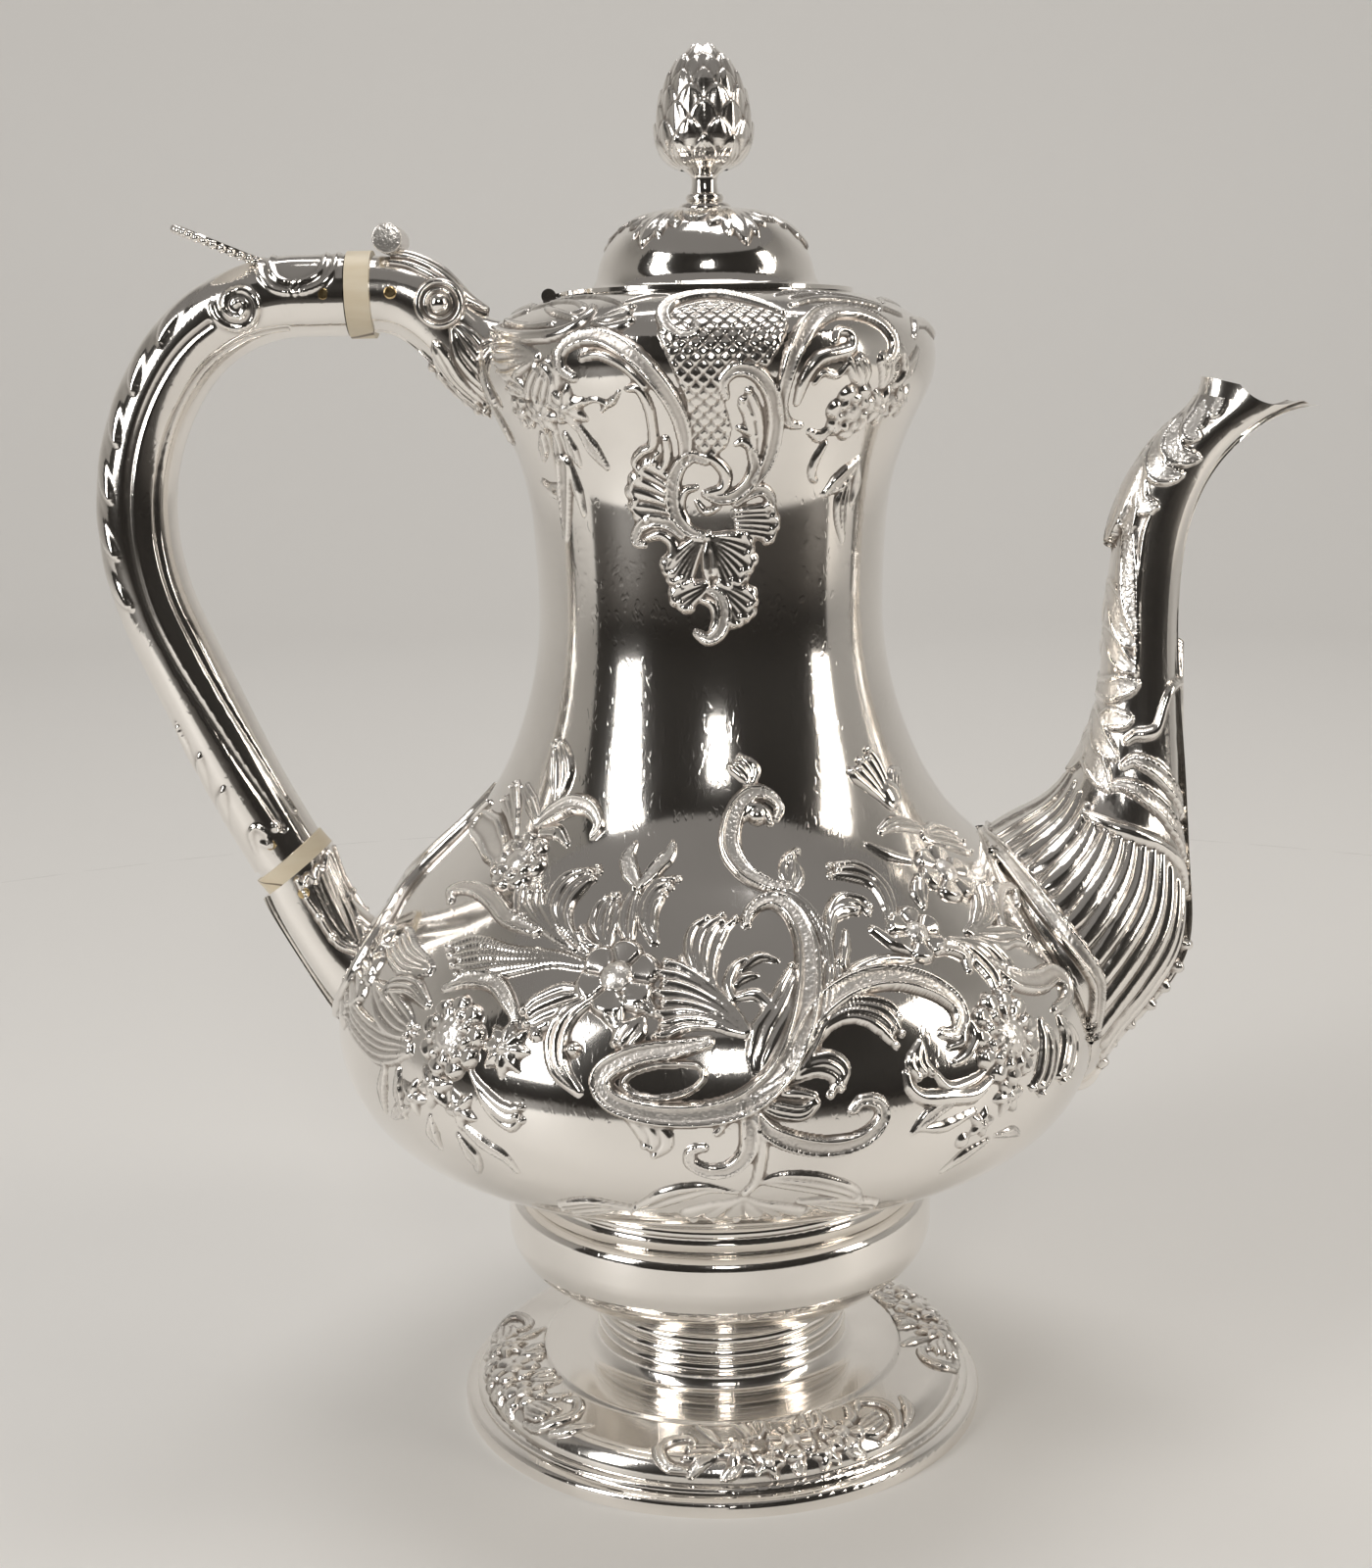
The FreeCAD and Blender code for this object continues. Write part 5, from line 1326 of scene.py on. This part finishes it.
# %% Spout: fluted shell
sheet = Sheet("spout_shell", spout, (0, 180), (2, 64), 0.45, nodes["spout_near_half"])
for flute in range(14):
    u = 5 + 10.2 * flute
    foot_end = np.interp(u, [0, 30, 60, 90, 100, 120, 140], [6, 7, 10.5, 13.5, 13, 9.5, 7])
    head_end = np.interp(u, [0, 30, 45, 60, 80, 100, 130], [34, 31, 30.5, 33, 36.5, 38.5, 37])
    low, high = (foot_end * 2 + head_end) / 3, (foot_end + head_end * 2) / 3
    path = [(u + 2, foot_end), (u + 1, low), (u, high), (u - 1, head_end)]
    sheet.stroke(path, [3.2, 4.2, 3.2, 1.6], 1.0, bead)
sheet.stroke([(36, 29), (45, 30.5), (54, 32), (62, 33.4), (72, 35.2), (86, 37.2), (100, 38.8), (118, 39.6),
              (138, 39), (160, 37)], [1.5, 2.6, 3.2, 3.4, 3.2, 2.8, 2.6, 2.4, 2, 1], 1.5, bead)
sheet.stroke([(52, 39.2), (60, 41), (72, 42.4), (88, 43.2), (108, 43.6), (130, 42.5), (155, 41)],
             [1.5, 3, 3.6, 3.6, 3.2, 2.6, 1.2], 1.4, gutter)
sheet.stroke([(60, 44), (70, 46), (84, 47), (104, 47.4), (126, 46.6), (150, 45)],
             [1.4, 2.8, 3.2, 3.2, 2.6, 1.2], 1.3, gutter)
sheet.stroke([(62, 48), (72, 49.6), (84, 50.6), (100, 52.2), (114, 55.4), (130, 57.4), (160, 58.2),
              (177, 58.4)], [1.6, 2.2, 2.2, 2, 2, 2, 1.8, 1.8], 1.1)
for path, wide in (([(20, 47), (34, 49), (50, 50), (68, 51.4)], 5.0),
                   ([(8, 53), (30, 53.5), (52, 55), (76, 56.4)], 6.0),
                   ([(4, 43), (18, 41), (34, 39.5), (50, 38)], 6.5),
                   ([(4, 48), (16, 46.5), (30, 44.5), (52, 44)], 5.5)):
    husk(sheet, path, wide, 1.3, gutter)
sheet.stroke([(150, 3), (154, 10), (157, 18), (159, 26), (161, 33)], [1.2, 1.8, 2, 1.8, 1.2], 0.9)
for u, v in [(153, 5.8), (154, 9), (155, 12.4), (156, 16), (157, 20), (158, 23.4), (159, 27), (160, 30.5)]:
    sheet.boss((u, v), 1.5, 2.0)
sheet.stroke([(0, 3), (8.5, 3.5), (26, 5.2), (45, 7.2), (67, 9.8), (85.5, 11.8), (97, 12.3), (107, 10.5),
              (115, 8.5), (126, 6), (142, 4)], [3, 3.4, 3.6, 3.8, 3.8, 3.6, 3.4, 3.2, 3, 2.6, 2], 1.9, gutter)
husk(sheet, [(180, 53), (180, 58), (180, 62.8)], 6.0, 2.0)
husk(sheet, [(0, 43), (0, 39), (0, 34)], 9.0, 1.6)
spout_sheets = [sheet.finish(0.04, "pot", CHASED)]
print("spout shell points:", sheet.u.size)

# %% Spout: leaves of its inner side
sheet = Sheet("spout_leaves", spout, (0, 112), (57, 97.5), 0.34, nodes["spout_near_half"])
for path, wide in (([(8, 62), (26, 61), (44, 59), (74, 57.6)], 5.0),
                   ([(10, 69), (30, 67), (50, 63), (70, 61)], 6.0),
                   ([(40, 76), (50, 72), (60, 67), (70, 62.5)], 4.6),
                   ([(6, 84), (16, 81), (30, 78.5), (44, 76)], 6.5),
                   ([(12, 87), (28, 83), (46, 80), (78, 79.4)], 5.0),
                   ([(10, 92), (30, 88), (56, 84.6), (94, 84.4)], 5.6),
                   ([(10, 97), (30, 92.5), (60, 88), (104, 87.2)], 5.4),
                   ([(30, 98), (48, 95), (62, 91.5), (80, 90.6)], 5.0),
                   ([(48, 98.5), (60, 96.6), (72, 94)], 3.6)):
    husk(sheet, path, wide, 1.15, gutter)
husk(sheet, [(0, 86), (0, 80), (0, 74.5)], 9.0, 2.6)
sheet.stroke([(70, 57), (73, 60), (72, 66), (70, 71), (68, 76), (72, 79)],
             [1.2, 1.4, 1.4, 1.4, 1.2, 0.8], 0.7)
spout_sheets.append(sheet.finish(0.06, "pot", CHASED))
for piece in spout_sheets:
    far_side(piece, "pot")
print("spout leaf points:", sheet.u.size)

# %% [markdown]
# ## Handle
# The handle is a bent tube. Two grooves run along each side, chains of leaf husks climb its back from
# the lower band and towards the top, a volute sits where it turns over, and an oval panel lies below
# the thumb leaf. A slightly larger skin is swept along the CAD centre line; where a groove runs, the
# skin is left low.

# %% Handle
GRIP_LINE = tangent_arcs([
    (-92.3, 125, 118), (-96.9, 133.65, 118), (-106, 153, 113.5), (-120, 198, 90),
    (-83, 242.6, 0), (-73.2, 242.6, 0),
])
GRIP_ALONG = run_along(GRIP_LINE)
GRIP_WAY = np.gradient(GRIP_LINE) / abs(np.gradient(GRIP_LINE))
GRIP_RADIUS = 7.6
GRIP_LIFT = 0.62
PANEL_LINES = [
    [(0, 151), (40, 151), (66, 150), (82, 147), (88, 142.6), (80, 138.6), (56, 136.8), (30, 136.6), (0, 137)],
    [(0, 148.6), (34, 148.8), (58, 148), (70, 145.6), (73, 142.6), (66, 139.8), (40, 138.6), (0, 138.8)],
]
VOLUTE = (90, 131)
DEGREES_PER_MM = 6.8


def grip(degrees, along):
    """The round handle: degrees from its back, millimetres up along its centre line."""
    degrees, along = np.broadcast_arrays(degrees, along)
    centre = np.interp(along, GRIP_ALONG, GRIP_LINE)
    outward = np.interp(along, GRIP_ALONG, GRIP_WAY) * 1j
    turn = np.radians(degrees)
    reach = GRIP_RADIUS * np.cos(turn) * outward / abs(outward)
    return np.stack([centre.real + reach.real, -GRIP_RADIUS * np.sin(turn), centre.imag + reach.imag], -1)


def grooved(sheet, path, wide, depth):
    """Leave the skin low along a line."""
    kept = sheet.rise
    sheet.rise = np.zeros(kept.shape)
    sheet.stroke(path, [wide, wide], depth)
    sheet.rise = kept - sheet.rise


sheet = Sheet("handle_skin", grip, (0, 180), (0.3, 152.6), 0.34)
sheet.rise += GRIP_LIFT
grooved(sheet, [(118, 6), (117, 12), (110, 22), (100, 35), (91, 48), (90, 60), (92, 80), (92, 100),
                (92, 115), (93, 124)], 1.7, 0.6)
grooved(sheet, [(150, 8), (143, 22), (131, 40), (128, 60), (130, 85), (133, 105), (136, 124),
                (142, 140)], 1.0, 0.35)
for tip in (114, 103.5, 93, 82, 71, 61):
    husk(sheet, [(6, tip + 17), (20, tip + 12), (40, tip + 6), (66, tip)], 5.8, 1.55, bead)
spiral = [(VOLUTE[0] + DEGREES_PER_MM * out * math.cos(turn), VOLUTE[1] + out * math.sin(turn))
          for out, turn in zip(np.linspace(0.6, 5.3, 26), np.linspace(3.5, -8.4, 26))]
sheet.stroke(spiral, [1.3, 1.6, 1.5, 1.0], 1.35)
for path in PANEL_LINES:
    sheet.stroke(path, [1.3, 1.3], 1.15)
husk(sheet, [(100, 137), (108, 140), (119, 141)], 2.2, 0.95)
for end, tip in ((44, 36), (60, 28), (70, 19.5)):
    husk(sheet, [(4, tip - 17), (16, tip - 12), (34, tip - 6), (end, tip)], 5.0, 1.45, bead)
sheet.stroke([(62, 4.6), (70, 8.2), (84, 9.2), (93, 6.8), (88, 4.4), (79, 5.6)],
             [0.9, 1.3, 1.3, 1.1, 0.9], 1.2)
sheet.boss((110.5, 7.2), 1.1, 1.2)
handle_sheet = sheet.finish(0.03, "pot", SILVER)
far_side(handle_sheet, "pot")
print("handle points:", sheet.u.size)

# %% [markdown]
# ## Sockets and thumb leaf
# The upper socket carries a ring-and-ball volute on each cheek, a ribbed leaf over its top that rolls
# into a small curl, and ruffled leaf below the volute down to the collar. The leaf on top follows the
# ovals of the socket and stands a little proud of them, so it grows out of the metal instead of
# resting on it. The lower socket has a flat leaf with a raised edge. The thumb leaf on the handle is
# edged with a row of small round beads.

# %% Volutes of the upper socket
VOLUTE_MIDDLE = (-54.0, 240.2)


def disc(middle, face):
    """A round face that looks to the front: degrees round, millimetres out."""
    def place(degrees, out):
        degrees, out = np.broadcast_arrays(degrees, out)
        turn = np.radians(degrees)
        x, z = middle[0] + out * np.cos(turn), middle[1] - out * np.sin(turn)
        return np.stack([x, np.full(out.shape, -face), z], -1)
    return place


sheet = Sheet("socket_volute", disc(VOLUTE_MIDDLE, 9.0), (0, 360), (0.3, 5.15), 0.2)
for out, wide, tall in ((4.35, 1.5, 1.0), (2.9, 0.8, 0.45)):
    sheet.stroke([(angle, out) for angle in range(0, 361, 20)], [wide, wide], tall)
volute = sheet.finish(0.04, "pot", CHASED)
bpy.ops.mesh.primitive_uv_sphere_add(segments=24, ring_count=16, radius=2.1 * MM)
ball = bpy.context.object
ball.name = "socket_ball"
ball.data.transform(Matrix.Translation(Vector((VOLUTE_MIDDLE[0], -9.6, VOLUTE_MIDDLE[1])) * MM))
dress(ball, "pot", SILVER)
far_side(volute, "pot")
far_side(ball, "pot")
print("volute points:", len(volute.data.vertices))

# %% Ruffled leaf of the upper socket
arm = Lofted([
    (-68.2, 234.8, -68.2, 250.4, 7.9), (-61.5, 232.6, -60.5, 249.4, 7.9), (-56.5, 227.8, -54, 246.2, 7.9),
    (-51.5, 222.5, -48.5, 240.8, 7.5), (-45, 217, -42, 237, 7.0),
])
sheet = Sheet("socket_acanthus", arm, (48, 179), (18.5, 39.7), 0.3, nodes["upper_socket"])
plume(sheet, [(100, 21), (120, 26), (135, 32), (140, 38.5)],
      [(150, 20), (165, 25), (173, 31), (173, 38.5)], 4, 1.0)
plume(sheet, [(58, 28), (62, 31), (70, 35), (78, 39)], [(94, 25), (104, 29), (112, 33), (120, 39)], 4, 0.9)
for v in (20, 23.2, 26.4, 29.6, 33, 36.4):
    sheet.boss((171, v), 1.15, 1.2)
ruffle = sheet.finish(SKIN, "pot", CHASED, True)
far_side(ruffle, "pot")
print("socket acanthus points:", len(ruffle.data.vertices))

# %% Ribbed leaf and curl of the upper socket
COWL_RANGE = (5.2, 35.5)
COWL_HALF = 44
CURL_RADIUS = 2.2
CURL_WIDTH = 11


def cowl(degrees, along):
    """The top of the socket, lifted in the middle and sunk at both edges."""
    degrees, along = np.broadcast_arrays(degrees, along)
    share = degrees / COWL_HALF
    turned = share * np.interp(along, [5, 14, 26, 35.5], [44, 44, 40, 16])
    place = arm(turned, along)
    outward = place - (arm(0 * turned, along) + arm(0 * turned + 180, along)) / 2
    outward /= np.linalg.norm(outward, axis=-1, keepdims=True)
    proud = np.interp(along, [5, 12, 28, 35.5], [1.5, 1.6, 1.5, 1.1]) * (1 - share**4) - 0.35
    return place + proud[..., None] * outward


sheet = Sheet("socket_leaf", cowl, (-COWL_HALF, COWL_HALF), COWL_RANGE, 0.22)
for u in (-36, -24, -12, 0, 12, 24, 36):
    sheet.stroke([(u, 5.4), (u, 14), (u, 24), (u * 0.8, 35)], [1.2, 1.7, 1.7, 0.9], 0.7)
leaf = sheet.finish(0, "pot", CHASED)
bpy.ops.object.modifier_add(type="SOLIDIFY")
leaf.modifiers["Solidify"].thickness = 1.6 * MM
leaf.modifiers["Solidify"].offset = -1
bpy.ops.object.modifier_apply(modifier="Solidify")
bpy.ops.mesh.primitive_cylinder_add(vertices=48, radius=CURL_RADIUS * MM, depth=CURL_WIDTH * MM)
curl = bpy.context.object
for face in curl.data.polygons:
    face.select = len(face.vertices) > 4
bpy.ops.object.mode_set(mode="EDIT")
bpy.ops.mesh.select_mode(type="FACE")
bpy.ops.mesh.inset(thickness=1.7 * MM, depth=0.8 * MM)
bpy.ops.object.mode_set(mode="OBJECT")
bpy.ops.object.modifier_add(type="BEVEL")
curl.modifiers["Bevel"].width = 0.25 * MM
curl.modifiers["Bevel"].segments = 3
bpy.ops.object.modifier_apply(modifier="Bevel")
satin = curl.data.attributes.new("stipple", "FLOAT", "POINT")
satin.data.foreach_set("value", [1.0] * len(curl.data.vertices))
lying = Matrix.Rotation(math.pi / 2, 4, "X")
curl.data.transform(Matrix.Translation(Vector((-64.4, 0, 253.4)) * MM) @ lying)
curl.data.materials.append(CHASED)
leaf.select_set(True)
bpy.context.view_layer.objects.active = leaf
bpy.ops.object.join()
bpy.ops.object.shade_smooth_by_angle(angle=math.radians(40))
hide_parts("upper_socket_leaf")
print("socket leaf points:", len(leaf.data.vertices))

# %% Leaf of the lower socket
lower_arm = Lofted([
    (-99, 121, -84, 131.5, 7.7), (-97.6, 115.5, -82.8, 125.5, 7.9), (-91.5, 103.5, -78.5, 114, 8.5),
    (-85.3, 93, -73.5, 109, 9.5), (-74, 82, -62, 104, 10),
])
sheet = Sheet("lower_socket_leaf", lower_arm, (1, 100), (8.3, 32), 0.3, nodes["lower_socket"])
top = [(83, 10), (76, 11.8), (68, 10.6), (60, 12.2), (50, 10.4), (40, 11.4), (28, 9.6), (18, 9.4)]
outer = [(83, 10), (81, 14), (76, 17.4), (75, 21), (72, 25), (62, 30)]
inner = [(18, 9.4), (14, 14), (18, 19), (28, 24), (44, 29)]
bed = sheet.inside(top + inner + outer[::-1][:-1])
sheet.rise[bed] = 0.55
for edge in (top, outer, inner):
    sheet.stroke(edge, [1.1, 1.3, 1.2, 0.8], 1.1)
for u in (32, 50, 66):
    sheet.stroke([(u, 11.6), (u, 17), (u * 0.7 + 17, 23), (54, 30)], [1.0, 1.4, 1.1, 0.6], 0.85)
for spot in ((76, 17.4), (74, 22), (30, 24.4), (17, 18)):
    sheet.boss(spot, 1.0, 1.5)
lower_leaf = sheet.finish(SKIN, "pot", CHASED, True)
far_side(lower_leaf, "pot")
print("lower socket leaf points:", len(lower_leaf.data.vertices))

# %% Beads of the thumb leaf
THUMB_ROOT = np.array([-90.0, 0, 248.1])
THUMB_RISE = math.radians(22.5)
THUMB_LENGTH = 19.6
THUMB_HALF = 7.0
BEAD_LIFT = 0.8

beads = []
for count in range(1, 16):
    turn = math.pi * count / 16
    along = THUMB_LENGTH / 2 * (1 - math.cos(turn))
    half = THUMB_HALF * math.sin(turn) * (0.72 + 0.28 * math.sin(turn) ** 2)
    x = -along * math.cos(THUMB_RISE) - BEAD_LIFT * math.sin(THUMB_RISE)
    z = along * math.sin(THUMB_RISE) + BEAD_LIFT * math.cos(THUMB_RISE)
    for side in (-1, 1):
        bpy.ops.mesh.primitive_ico_sphere_add(subdivisions=2, radius=0.95 * MM)
        ball = bpy.context.object
        ball.data.transform(Matrix.Translation(Vector(THUMB_ROOT + (x, side * half, z)) * MM))
        beads.append(ball)
bpy.ops.object.select_all(action="DESELECT")
for ball in beads:
    ball.select_set(True)
bpy.context.view_layer.objects.active = beads[0]
bpy.ops.object.join()
thumb_beads = bpy.context.object
thumb_beads.name = "thumb_leaf_beads"
dress(thumb_beads, "pot", SILVER)
print("thumb beads:", len(beads))
